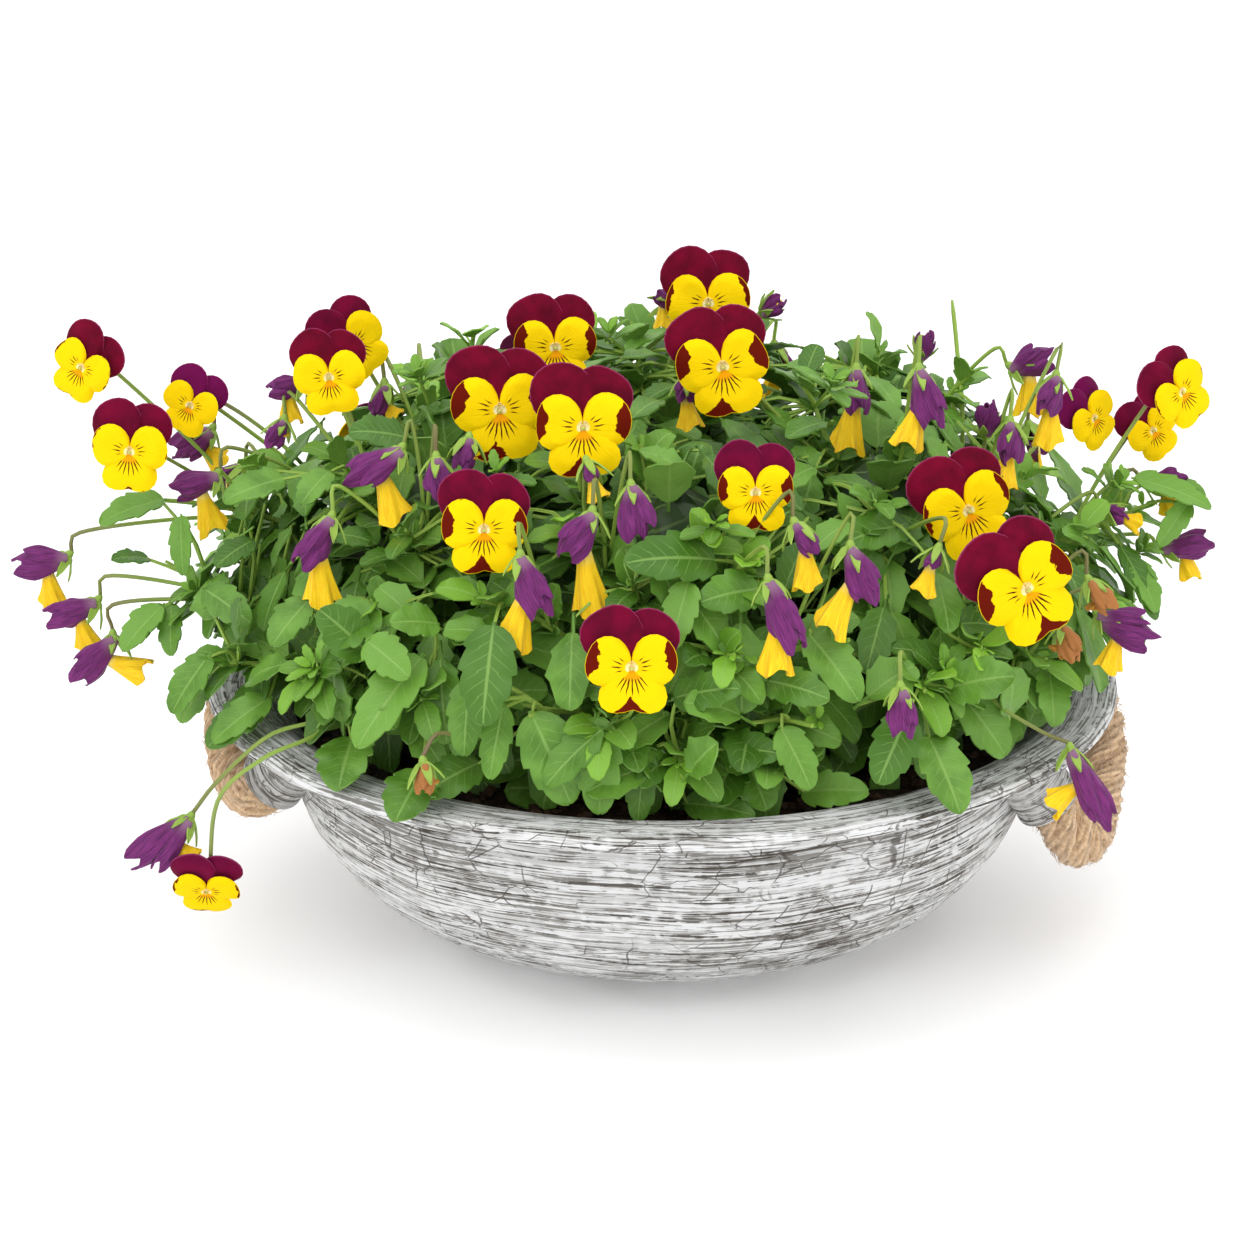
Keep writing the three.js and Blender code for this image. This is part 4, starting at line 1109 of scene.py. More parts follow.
@dataclass
class RopeHandle:
    """A jute rope that hangs in a bow between its two sleeves on the bowl.

    Sizes are in millimetres. The twist is how far a strand takes for a full turn, and the seat is how far
    each end goes into its sleeve.
    """

    name: str
    radius: float = 10.0
    strand_radius: float = 4.6
    strands: int = 5
    seat: float = 4.0
    twist: float = 62.0
    yarns: int = 6
    rings: int = 130
    sides: int = 18
    fibres: int = 1000
    fibre_radii: tuple[float, ...] = (0.2, 0.17, 0.06)
    seed: int = 5

    def centre(self) -> Array:
        """Gives the points of the rope's centreline, which starts and ends a little way inside its sleeves.

        Returns:
            The points, one a row.
        """
        route = point(ROPE_ROUTES[self.name])
        start = route[0] - unit(route[1] - route[0]) * self.seat
        end = route[-1] + unit(route[-1] - route[-2]) * self.seat
        return even_curve(np.vstack([start, route, end]), self.rings)

    def build(self, jute: Material) -> None:
        """Args:
            jute: The finish of the rope.
        """
        maker = MeshMaker()
        centre = self.centre()
        track = Track(centre, *frames_along(centre), distances(centre))
        for strand in range(self.strands):
            self.add_strand(maker, track, strand)
        self.add_fibres(maker, track)
        rope = maker.make(self.name + "_rope", self.name, "jute_rope", [jute], crease=70)

    def add_strand(self, maker: MeshMaker, track: Track, strand: int) -> None:
        """Adds one of the strands, with its yarns twisted the other way.

        Args:
            maker: What gathers the mesh.
            track: The rope's centreline.
            strand: The strand's number.
        """
        far = track.travelled[:, None]
        wander = 0.35 * np.sin(track.travelled / 7 + strand)
        turn = 2 * math.pi * (track.travelled / self.twist + strand / self.strands) + wander
        out = np.cos(turn)[:, None] * track.first + np.sin(turn)[:, None] * track.second
        around = np.cross(track.tangents, out)
        middle = track.points + out * (self.radius - self.strand_radius) * 1.06
        angle = full_turn(self.sides)[None, :]
        yarn = self.yarns * (angle - 2 * math.pi * far / (0.8 * self.twist))
        ridge = np.abs(np.cos(yarn / 2)) ** 0.7
        rough = 0.22 * np.sin(far * 1.3 + 4 * angle + strand)
        radius = self.strand_radius * (0.74 + 0.3 * ridge) + rough
        rings = (
            middle[:, None]
            + (np.cos(angle) * radius)[:, :, None] * out[:, None]
            + (np.sin(angle) * radius)[:, :, None] * around[:, None]
        )
        tones = np.ones((rings.shape[0] * self.sides, 4))
        tones[:, 0] = 0.3 * strand
        # Painted shade: how deep each groove between the yarns lies sets how much shade is painted there
        tones[:, 1] = (1 - ridge).ravel() * 0.9
        maker.add_rings(rings, paired(far / 60, angle / 3), tones)

    def add_fibres(self, maker: MeshMaker, track: Track) -> None:
        """Adds loose fibres that stand out of the rope.

        Args:
            maker: What gathers the mesh.
            track: The rope's centreline.
        """
        random = np.random.default_rng(self.seed)
        radii = np.array(self.fibre_radii)
        for _ in range(self.fibres):
            k = int(random.integers(2, self.rings - 2))
            out = toward(track.first[k], track.second[k], random.uniform(0, 2 * math.pi))
            lean = track.tangents[k] * random.normal(0, 1.3)
            lean = unit(lean + np.cross(track.tangents[k], out) * random.normal(0, 0.8))
            start = track.points[k] + out * self.radius * 0.9
            reach = random.uniform(2.0, 8.0)
            bend = start + lean * reach * 0.5 + out * random.uniform(0.3, 1.5)
            end = start + lean * reach + out * random.uniform(-0.6, 1.8)
            maker.add_tube(np.stack([start, bend, end]), radii, 3, (random.uniform(0, 1), 0.0, 1.0))


@dataclass
class Bowl:
    """The low round bowl, turned with a flat foot and a rolled-out rim, with four rope sleeves.

    The profiles are corners of radius and height in millimetres, as in the part. The spacing is that of the
    brushed grooves, which start at brushed_from along the profile from the middle of the foot.
    """

    radius: float = 175.0
    brushed_from: float = 66.0
    seed: int = 11
    segments: int = 250
    steps: int = 4
    spacing: float = 1.9
    groove: float = 0.16
    sleeve_radius: float = 12.5
    sleeve_length: float = 20.0
    sleeve_bore: float = 10.6
    outside: Profile = (
        (62, 0), (64, 0.6), (84, 4.5), (102, 11), (119, 21.5), (135, 40), (143, 60), (146.5, 84), (154, 90),
        (165, 92), (173.5, 93.5), (175, 96), (173.5, 98.4), (168, 99), (157.5, 98.6), (150, 94), (143, 88),
    )
    inside: Profile = ((142.4, 86), (136.5, 62), (122, 34.5), (84, 11.5), (0.5, 7))

    def build(self, whitewash: Material) -> None:
        """Makes the bowl.

        Args:
            whitewash: The finish of the bowl.
        """
        maker = MeshMaker()
        self.add_wall(maker)
        for route in ROPE_ROUTES.values():
            for ends in (point(route), point(route)[::-1]):
                self.add_sleeve(maker, ends)
        maker.make("whitewashed_bowl", "bowl", "whitewashed_wood", [whitewash], crease=40)

    def add_wall(self, maker: MeshMaker) -> None:
        """Turns the wall, the rim and the foot, with brushed grooves and a slight wobble.

        Args:
            maker: What gathers the mesh.
        """
        outer = smooth_curve(np.array([[r, 0.0, z] for r, z in self.outside]), self.steps)
        inner = smooth_curve(np.array([[r, 0.0, z] for r, z in self.inside]), 3)
        profile = np.vstack([[[0.5, 0.0, 0.0]], [[58.0, 0.0, 0.0]], outer, inner])
        run = distances(profile)
        rim_end = run[1 + (len(self.outside) - 1) * self.steps] + 2
        fine = np.unique(np.concatenate([np.arange(run[1], rim_end, self.spacing), run]))
        radius = np.interp(fine, run, profile[:, 0])
        height = np.interp(fine, run, profile[:, 2])
        normal_r, normal_z = np.gradient(height, fine), -np.gradient(radius, fine)
        angle = full_turn(self.segments)
        random = np.random.default_rng(self.seed)
        depth = np.zeros((len(fine), self.segments))
        for wave in range(1, 7):
            size = random.normal(0, 1, len(fine)) / 2.4
            start = random.uniform(0, 2 * math.pi, len(fine))
            depth += size[:, None] * np.cos(wave * angle + start[:, None])
        brushed = (np.clip((fine - self.brushed_from) / 12, 0, 1) * (fine < rim_end))[:, None]
        depth = np.clip(depth, -1.4, 1.0) * self.groove * brushed
        wobble = 0.35 * np.cos(2 * angle + 0.7) + 0.25 * np.cos(5 * angle + 2.1)
        wobble = wobble * (radius[:, None] / self.radius) ** 2 * brushed
        wide = radius[:, None] + normal_r[:, None] * depth + wobble
        high = height[:, None] + normal_z[:, None] * depth
        rings = np.stack([wide * np.cos(angle), wide * np.sin(angle), np.broadcast_to(high, wide.shape)], axis=2)
        maker.add_rings(rings, paired(fine[:, None] * MM, angle / (2 * math.pi)), (0.5, 0.0, 1.0, 1.0))

    def add_sleeve(self, maker: MeshMaker, route: Array) -> None:
        """Adds a short thick sleeve that the end of a rope goes into.

        Args:
            maker: What gathers the mesh.
            route: The rope's points, from this sleeve on.
        """
        direction = unit(route[1] - route[0])
        first = squared(UP, direction)
        second = np.cross(direction, first)
        angle = full_turn(36)
        spokes = np.cos(angle)[:, None] * first + np.sin(angle)[:, None] * second
        wide, bore = self.sleeve_radius, self.sleeve_bore
        profile = [
            (-self.sleeve_length, wide - 0.6), (-self.sleeve_length + 0.6, wide), (-3.0, wide), (-2.4, wide + 0.5),
            (-1.0, wide + 0.5), (-0.3, wide), (-0.3, bore + 0.4), (-0.8, bore), (-9.0, bore),
        ]
        rings = np.array([route[0] + direction * far + spokes * radius for far, radius in profile])
        places = paired(np.array([[far] for far, _ in profile]) * MM, angle)
        maker.add_rings(rings, places, (0.5, 1.0, 1.0, 1.0))


@dataclass
class Soil:
    """The soil: a bumpy crown of dark earth with bark chips, down to the bottom of the bowl.

    Sizes are in millimetres. The walls are corners of radius and height from the edge of the crown down.
    """

    walls: Profile = ((141.0, 80.0), (134.5, 62.0), (120.0, 35.5), (82.0, 12.5), (0.5, 7.6))
    edge_radius: float = 142.0
    edge_height: float = 87.0
    crown_height: float = 91.0
    rings: int = 50
    segments: int = 130
    chips: int = 900
    seed: int = 3

    def height(self, radius: Array) -> Array:
        """Gives the height of the soil at each distance from its middle."""
        return self.crown_height - (self.crown_height - self.edge_height) * (radius / self.edge_radius) ** 2

    def build(self, earth: Material) -> None:
        """Makes the soil and its chips.

        Args:
            earth: The finish of the soil.
        """
        maker = MeshMaker()
        random = np.random.default_rng(self.seed)
        angle = full_turn(self.segments)
        bumps = random.normal(0, 0.55, (self.rings, self.segments))
        bumps = (bumps + np.roll(bumps, 1, axis=0) + np.roll(bumps, 1, axis=1)) * 0.8
        bumps[0] = 0
        top = np.linspace(0.5, self.edge_radius, self.rings)
        radius = np.append(top, [r for r, _ in self.walls])[:, None]
        walls = [np.full(self.segments, z) for _, z in self.walls]
        height = np.vstack([self.height(top)[:, None] + bumps, *walls])
        rings = np.stack([radius * np.cos(angle), radius * np.sin(angle), height], axis=2)[::-1]
        places = paired(np.linspace(0, 1, len(rings))[:, None], angle)
        maker.add_rings(rings, places, (0.5, 0.0, 1.0, 1.0))
        for _ in range(self.chips):
            self.add_chip(maker, random)
        maker.make("bark_soil", "soil", "potting_soil", [earth], crease=60)

    def add_chip(self, maker: MeshMaker, random: np.random.Generator) -> None:
        """Drops one rough chip of bark on the soil.

        Args:
            maker: What gathers the mesh.
            random: The seeded source of the draws.
        """
        radius = (self.edge_radius - 4) * math.sqrt(random.uniform(0.25, 1))
        angle = random.uniform(0, 2 * math.pi)
        size = np.array([random.uniform(2.5, 8), random.uniform(1.6, 4), random.uniform(0.8, 2.2)]) / 2
        turn = random.uniform(0, 2 * math.pi)
        along = unit(np.array([math.cos(turn), math.sin(turn), random.normal(0, 0.3)]))
        across = squared(np.array([-math.sin(turn), math.cos(turn), random.normal(0, 0.3)]), along)
        up = np.cross(along, across)
        height = float(self.height(np.array([radius]))[0]) + random.uniform(0, 1.2)
        middle = np.array([radius * math.cos(angle), radius * math.sin(angle), height])
        signs = np.array([[a, b, c] for a in (-1, 1) for b in (-1, 1) for c in (-1, 1)], dtype=float)
        signs *= random.uniform(0.6, 1.1, (8, 3))
        points = middle + (signs * size) @ np.stack([along, across, up])
        faces = np.array([[0, 1, 3, 2], [4, 6, 7, 5], [0, 4, 5, 1], [2, 3, 7, 6], [0, 2, 6, 4], [1, 5, 7, 3]])
        own = random.uniform(0, 1)
        maker.add(points, faces, np.zeros((8, 2)), (own, 0.9, 1.0, 1.0))


@dataclass(frozen=True)
class Petal:
    """A petal's place in its bloom: its angle from the top, and its sizes in bloom widths."""

    angle: float
    long: float
    wide: float
    forward: float
    lean: float
    side: Side = Side.LATERAL


@dataclass
class OpenBloom:
    """An open bloom with its two layers of petals.

    Sizes are in millimetres, and angles in degrees except the swing, which is how far a petal fans out to each
    side in radians.
    """

    number: int
    middle: Array
    width: float
    yaw: float
    pitch: float
    roll: float
    rows: int = 13
    columns: int = 19
    thickness: float = 0.55
    swing: float = 1.38
    upper_front: float = -1.2
    lower_front: float = 0.5
    upper: tuple[Petal, ...] = (
        Petal(-30, 0.69, 0.6, 0.6, -0.1),
        Petal(34, 0.64, 0.56, -0.6, -0.12),
    )
    lower: tuple[Petal, ...] = (
        Petal(-75, 0.47, 0.5, 0.9, 0.02),
        Petal(75, 0.47, 0.5, 0.5, 0.02),
        Petal(180, 0.48, 0.58, 0.0, 0.1, Side.BOTTOM),
    )

    def __post_init__(self) -> None:
        """Works out the directions of the bloom's face."""
        turn, tilt, spin = (math.radians(value) for value in (self.yaw, self.pitch, self.roll))
        self.out = np.array([math.sin(turn) * math.cos(tilt), -math.cos(turn) * math.cos(tilt), math.sin(tilt)])
        flat = unit(np.cross(UP, self.out))
        rise = np.cross(self.out, flat)
        self.right = flat * math.cos(spin) - rise * math.sin(spin)
        self.up = rise * math.cos(spin) + flat * math.sin(spin)

    def name(self, part: str) -> str:
        """Gives the name of one part of the bloom."""
        return f"bloom_{self.number + 1:02d}_{part}"

    def at(self, x: Array, y: Array, z: Array) -> Array:
        """Turns distances to the right (x), up (y) and out of the face (z) into points."""
        return self.middle + x[..., None] * self.right + y[..., None] * self.up + z[..., None] * self.out

    def petal_grid(self, petal: Petal, front: float, own: float) -> tuple[Array, Array]:
        """Shapes one petal: a round fan of rays from the throat, with a soft ruffle.

        Args:
            petal: The petal.
            front: How far forward its layer lies.
            own: The petal's own chance value.

        Returns:
            The grid of points, and their places along and across the petal.
        """
        along = np.linspace(0.012, 1, self.rows)[:, None] ** 0.8
        across = np.linspace(-1, 1, self.columns)[None, :]
        ray = across * self.swing
        ruffle = np.sin(across * (4.2 + 2 * own) + own * 9) + 0.6 * np.sin(across * 9 + own * 23)
        shoulder = 0.24 if petal.side is Side.BOTTOM else 0.1
        reach = np.cos(ray) * (1 + shoulder * np.sin(2 * ray) ** 2 + 0.018 * ruffle)
        if petal.side is Side.BOTTOM:
            reach = reach * (1 - 0.07 * np.exp(-((across / 0.1) ** 2)))
        reach = reach * along
        x = reach * np.sin(ray) * petal.wide * self.width + across * (1 - along)
        y = reach * np.cos(ray) * petal.long * self.width
        cup = -0.05 * self.width * (across * along) ** 2
        wave = 0.016 * self.width * ruffle * along**2
        curl = -0.04 * self.width * np.maximum(0, along - 0.75) / 0.25
        z = front + petal.forward * (0.5 + 0.5 * along) + petal.lean * y + cup + wave + curl
        y = y + 0.6
        turn = math.radians(petal.angle)
        points = self.at(x * math.cos(turn) + y * math.sin(turn), y * math.cos(turn) - x * math.sin(turn), z)
        return points, paired(along, across * (-1 if petal.angle < 0 else 1))

    def build(self, maroon: Material, yellow: Material, beard: Material, stigma: Material) -> None:
        """Makes both layers of the bloom.

        Args:
            maroon: The finish of the upper petals.
            yellow: The finish of the lower petals.
            beard: The finish of the pale tufts in the throat.
            stigma: The finish of the small head in the throat.
        """
        upper = MeshMaker()
        for k, petal in enumerate(self.upper):
            own = chance(self.number, k, 41)
            grid, places = self.petal_grid(petal, self.upper_front, own)
            upper.add_sheet(grid, self.thickness, places, (own, MAGENTA[self.number], 0.0))
        lower = MeshMaker()
        for k, petal in enumerate(self.lower):
            own = chance(self.number, k, 43)
            grid, places = self.petal_grid(petal, self.lower_front, own)
            blotch = BLOTCHES[self.number] * (0.85 + 0.3 * chance(self.number, k, 44))
            lower.add_sheet(grid, self.thickness, places, (own, min(1.0, blotch), petal.side.value))
        self.add_throat(lower)
        for maker, part, slot, finishes in (
            (upper, "upper_petals", "maroon_petal", [maroon]),
            (lower, "lower_petals", "yellow_petal", [yellow, beard, stigma]),
        ):
            maker.make(self.name(part) + "_fine", self.name(part), slot, finishes, crease=60)

    def add_throat(self, maker: MeshMaker) -> None:
        """Adds the small green head and the pale tufts beside it.

        Args:
            maker: What gathers the lower petals.
        """
        size = self.width / 32
        tone = (0.5, 0.0, 1.0)
        floor = self.at(np.zeros(2), np.zeros(2), np.array([-0.5, 0.6]))
        maker.add_tube(floor, np.array([2.2, 2.0]) * size, 14, tone, Face.BEARD)
        rise = np.array([0.4, 1.2, 1.7, 1.9]) * size + 0.6
        head = self.at(np.zeros(4), np.array([-0.3, -0.2, -0.1, -0.1]) * size, rise)
        maker.add_tube(head, np.array([0.5, 0.6, 0.5, 0.2]) * size, 10, tone, Face.STIGMA)
        for side in (-1, 1):
            for hair in range(12):
                down = chance(self.number, hair, 45)
                x = side * (0.2 + 1.4 * down) * size
                y = (2.1 - 1.2 * down + 0.4 * chance(self.number, hair, 46)) * size
                reach = (0.5 + 0.6 * chance(self.number, hair, 47)) * size
                lean = 0.6 * (chance(self.number, hair, 48) - 0.5) * size
                tuft = self.at(np.array([x, x + lean]), np.array([y, y + lean]), np.array([0.9, 1.1 + reach]))
                maker.add_tube(tuft, np.array([0.3, 0.14]) * size, 4, tone, Face.BEARD)


@dataclass(frozen=True)
class Leaf:
    """A leaf's foot, direction, upper side, length and width in millimetres, and how much it droops."""

    foot: Array
    direction: Array
    up: Array
    length: float
    width: float
    droop: float


@dataclass(frozen=True)
class LeafForm:
    """How finely leaves are made and how their edges are cut.

    The neck is the bare part at the foot, the waist is higher where the leaf is widest nearer its tip, the cuts
    are the places in each tooth where a row of points runs across, and the ends are the rows near the tip.
    """

    teeth: int = 4
    depth: float = 0.2
    cuts: tuple[float, ...] = (0.05, 0.85)
    ends: tuple[float, ...] = (0.93, 0.98, 1.0)
    columns: int = 5
    thickness: float = 0.7
    neck: float = 0.2
    waist: float = 1.0
    broad: float = 1.2

    def stations(self) -> Array:
        """Gives where rows of points run across the leaf, as parts of its length.

        Returns:
            The parts, from 0 at its foot to 1 at its tip.
        """
        rows = (np.arange(self.teeth)[:, None] + np.array(self.cuts)).ravel() / self.teeth
        blade = np.concatenate([[0.0], rows[rows < self.ends[0] - 0.02], self.ends])
        return np.concatenate([[0.0], self.neck + (1 - self.neck) * blade])

    def outline(self, along: Array) -> Array:
        """Gives the width of a leaf along its length.

        Args:
            along: Parts of its length.

        Returns:
            The width at each, as a part of its widest.
        """
        blade = np.clip((along - self.neck) / (1 - self.neck), 0, 1)
        body = np.maximum(np.sin(math.pi * blade**self.waist), 0) ** 0.46
        tooth = (self.teeth * blade) % 1
        notch = 1 - self.depth * (1 - tooth) ** 1.6 * np.sin(math.pi * blade) ** 0.4
        return np.maximum(body * notch * self.broad, 0.075)

    def grid(self, leaf: Leaf, own: float) -> tuple[Array, Array]:
        """Shapes a leaf: folded a little along its middle, waved at its edges and bent down to its tip.

        Args:
            leaf: The leaf.
            own: The leaf's own chance value.

        Returns:
            The grid of points, and their places along and across the leaf.
        """
        along = self.stations()[:, None]
        across = np.linspace(-1, 1, self.columns)[None, :]
        side = unit(np.cross(leaf.direction, leaf.up))
        centre = (leaf.foot + leaf.direction * leaf.length * along
                  - UP * leaf.length * leaf.droop * along * along)
        tangent = leaf.direction - 2 * leaf.droop * along * UP
        normal = np.cross(side, tangent)
        normal /= np.linalg.norm(normal, axis=1)[:, None]
        half = leaf.width / 2 * self.outline(along)
        far = np.abs(across)
        fold = half * (0.28 + 0.2 * own) * far
        arch = -0.16 * half * far**2
        wave = 0.045 * leaf.width * far**2 * np.sin(along * 15 + own * 40 + across)
        tip = -0.07 * leaf.length * along**4
        middle = centre[:, None] + (across * half)[:, :, None] * side
        middle = middle + (fold + arch + wave + tip)[:, :, None] * normal[:, None]
        return middle, paired(along, across)


SMALL_LEAF = LeafForm()
ROUND_LEAF = LeafForm(teeth=3, neck=0.24, waist=1.15, broad=1.35)
INNER_LEAF = LeafForm(teeth=3, depth=0.12, cuts=(0.1, 0.75), ends=(0.93, 1.0), columns=3, waist=1.1, broad=1.25)
YOUNG_LEAF = LeafForm(teeth=2, depth=0.1, cuts=(0.05, 0.5, 0.95), ends=(0.94, 1.0), columns=3, thickness=0.6,
                      neck=0.12, waist=1.1)
LARGE_LEAF = LeafForm(cuts=(0.05, 0.3, 0.6, 0.95), columns=7, neck=0.04, waist=0.82, broad=1.1)
STIPULE = LeafForm(teeth=1, depth=0.2, cuts=(0.35, 0.7), ends=(0.94, 1.0), columns=3, thickness=0.6, neck=0.1)
SEPAL = LeafForm(teeth=1, depth=0.0, cuts=(0.2, 0.4, 0.7), ends=(1.0,), columns=3, thickness=0.6, neck=0.0,
                 waist=0.6, broad=1.0)


@dataclass
class Shoot:
    """A leafy shoot: a stem that rises from its plant's crown and leans out to its tip."""

    number: int
    tip: Array
    plant: str
    leaves: int = 14

    def __post_init__(self) -> None:
        """Works out the bend of the stem and its points at even distances."""
        foot = np.array([*CROWNS[self.plant], SOIL_CROWN_HEIGHT - 2], dtype=float)
        knee = foot + (self.tip - foot) * 0.4
        knee[2] = foot[2] + (self.tip[2] - foot[2]) * 0.75 + 6
        part = np.linspace(0, 1, 41)[:, None]
        bend = foot * (1 - part) ** 2 + knee * 2 * part * (1 - part) + self.tip * part**2
        self.path = evened(bend, 33)
        self.slopes = np.gradient(self.path, axis=0)

    def at(self, part: float) -> tuple[Array, Array]:
        """Finds a place on the stem.

        Args:
            part: How far along it the place is, from 0 to 1.

        Returns:
            The point, and the direction of the stem there.
        """
        place = part * (len(self.path) - 1)
        k = min(int(place), len(self.path) - 2)
        rest = place - k
        here = self.path[k] * (1 - rest) + self.path[k + 1] * rest
        return here, unit(self.slopes[k] * (1 - rest) + self.slopes[k + 1] * rest)

    def leaf(self, i: int) -> Leaf:
        """Gives leaf number i, which springs from the stem and turns out to the light.

        Args:
            i: The leaf's number, from 0 at the lowest.

        Returns:
            The leaf, by the same rule as in the part.
        """
        s = self.number
        age = i / (self.leaves - 1)
        foot, tangent = self.at(0.3 + 0.68 * age**0.85)
        first = unit(np.cross(tangent, [1, 0, 0.01]))
        spread = toward(first, np.cross(tangent, first), s * 1.7 + i * GOLDEN_TURN)
        outward = unit(foot - MOUND_MIDDLE)
        lift = 0.3 + 0.5 * age + 0.2 * chance(s, i, 3)
        direction = unit(unit(spread + tangent * lift) + outward * 0.4)
        up = squared(UP * 0.7 + outward * 0.6, direction)
        length = (38 - 21 * age) * (0.85 + 0.3 * chance(s, i, 1))
        width = length * (0.4 + 0.08 * chance(s, i, 2))
        return Leaf(foot, direction, up, length, width, 0.12 + 0.2 * chance(s, i, 4))


def nearest_plant(place: Array) -> str:
    """Gives the name of the plant whose crown is nearest to a place."""
    return min(CROWNS, key=lambda name: math.hypot(place[0] - CROWNS[name][0], place[1] - CROWNS[name][1]))


def all_shoots() -> list[Shoot]:
    """Places every shoot: those that the photograph shows, and rings of them round the back.

    Returns:
        The shoots, in the order of their numbers.
    """
    tips = [point(tip) for tip in SHOOT_TIPS]
    for ring, (count, out, height) in enumerate(BACK_RINGS):
        for k in range(count):
            turn = math.pi * ((k + 0.5) / count) + (chance(ring, k, 7) - 0.5) * 0.12
            reach = out * (0.95 + 0.1 * chance(ring, k, 8))
            rise = height + 16 * (chance(ring, k, 9) - 0.5)
            tips.append(np.array([reach * math.cos(turn), reach * math.sin(turn) * 0.94, rise]))
    return [Shoot(number, tip, nearest_plant(tip)) for number, tip in enumerate(tips)]


@dataclass
class Clearings:
    """The places that leaves leave free: the blooms, and the air in front of them.

    A leaf hides a bloom up to so far in front of it, and crosses it within the gap on both sides of its face,
    as far out as its reach times the margin. Sizes are in millimetres.
    """

    eye: Array
    hides_within: float = 220.0
    gap: float = 3.0
    margin: float = 1.35
    middles: list[Array] = field(default_factory=list)
    fronts: list[Array] = field(default_factory=list)
    faces: list[Array] = field(default_factory=list)
    reaches: list[float] = field(default_factory=list)

    def add(self, middle: Array, face: Array, reach: float) -> None:
        """Adds a bloom.

        Args:
            middle: The middle of the bloom.
            face: The way it faces.
            reach: How far from its middle it is kept free.
        """
        front = unit(self.eye - middle)
        self.middles.append(middle)
        self.fronts.append(front if face.dot(front) > 0 else face)
        self.faces.append(face)
        self.reaches.append(reach)

    def blocked(self, points: Array) -> bool:
        """Tells whether a leaf would cross a bloom or hide it.

        Args:
            points: Points of the leaf, one a row.

        Returns:
            True where it would.
        """
        away = points[:, None] - np.array(self.middles)[None]
        fronts = np.array(self.fronts)[None]
        depth = (away * fronts).sum(axis=2)
        beside = np.linalg.norm(away - depth[:, :, None] * fronts, axis=2)
        reaches = np.array(self.reaches)[None]
        hides = (depth > 0) & (depth < self.hides_within) & (beside < reaches)
        out = (away * np.array(self.faces)[None]).sum(axis=2)
        crosses = (np.abs(out) < self.gap) & (np.linalg.norm(away, axis=2) < self.margin * reaches)
        return bool((hides | crosses).any())


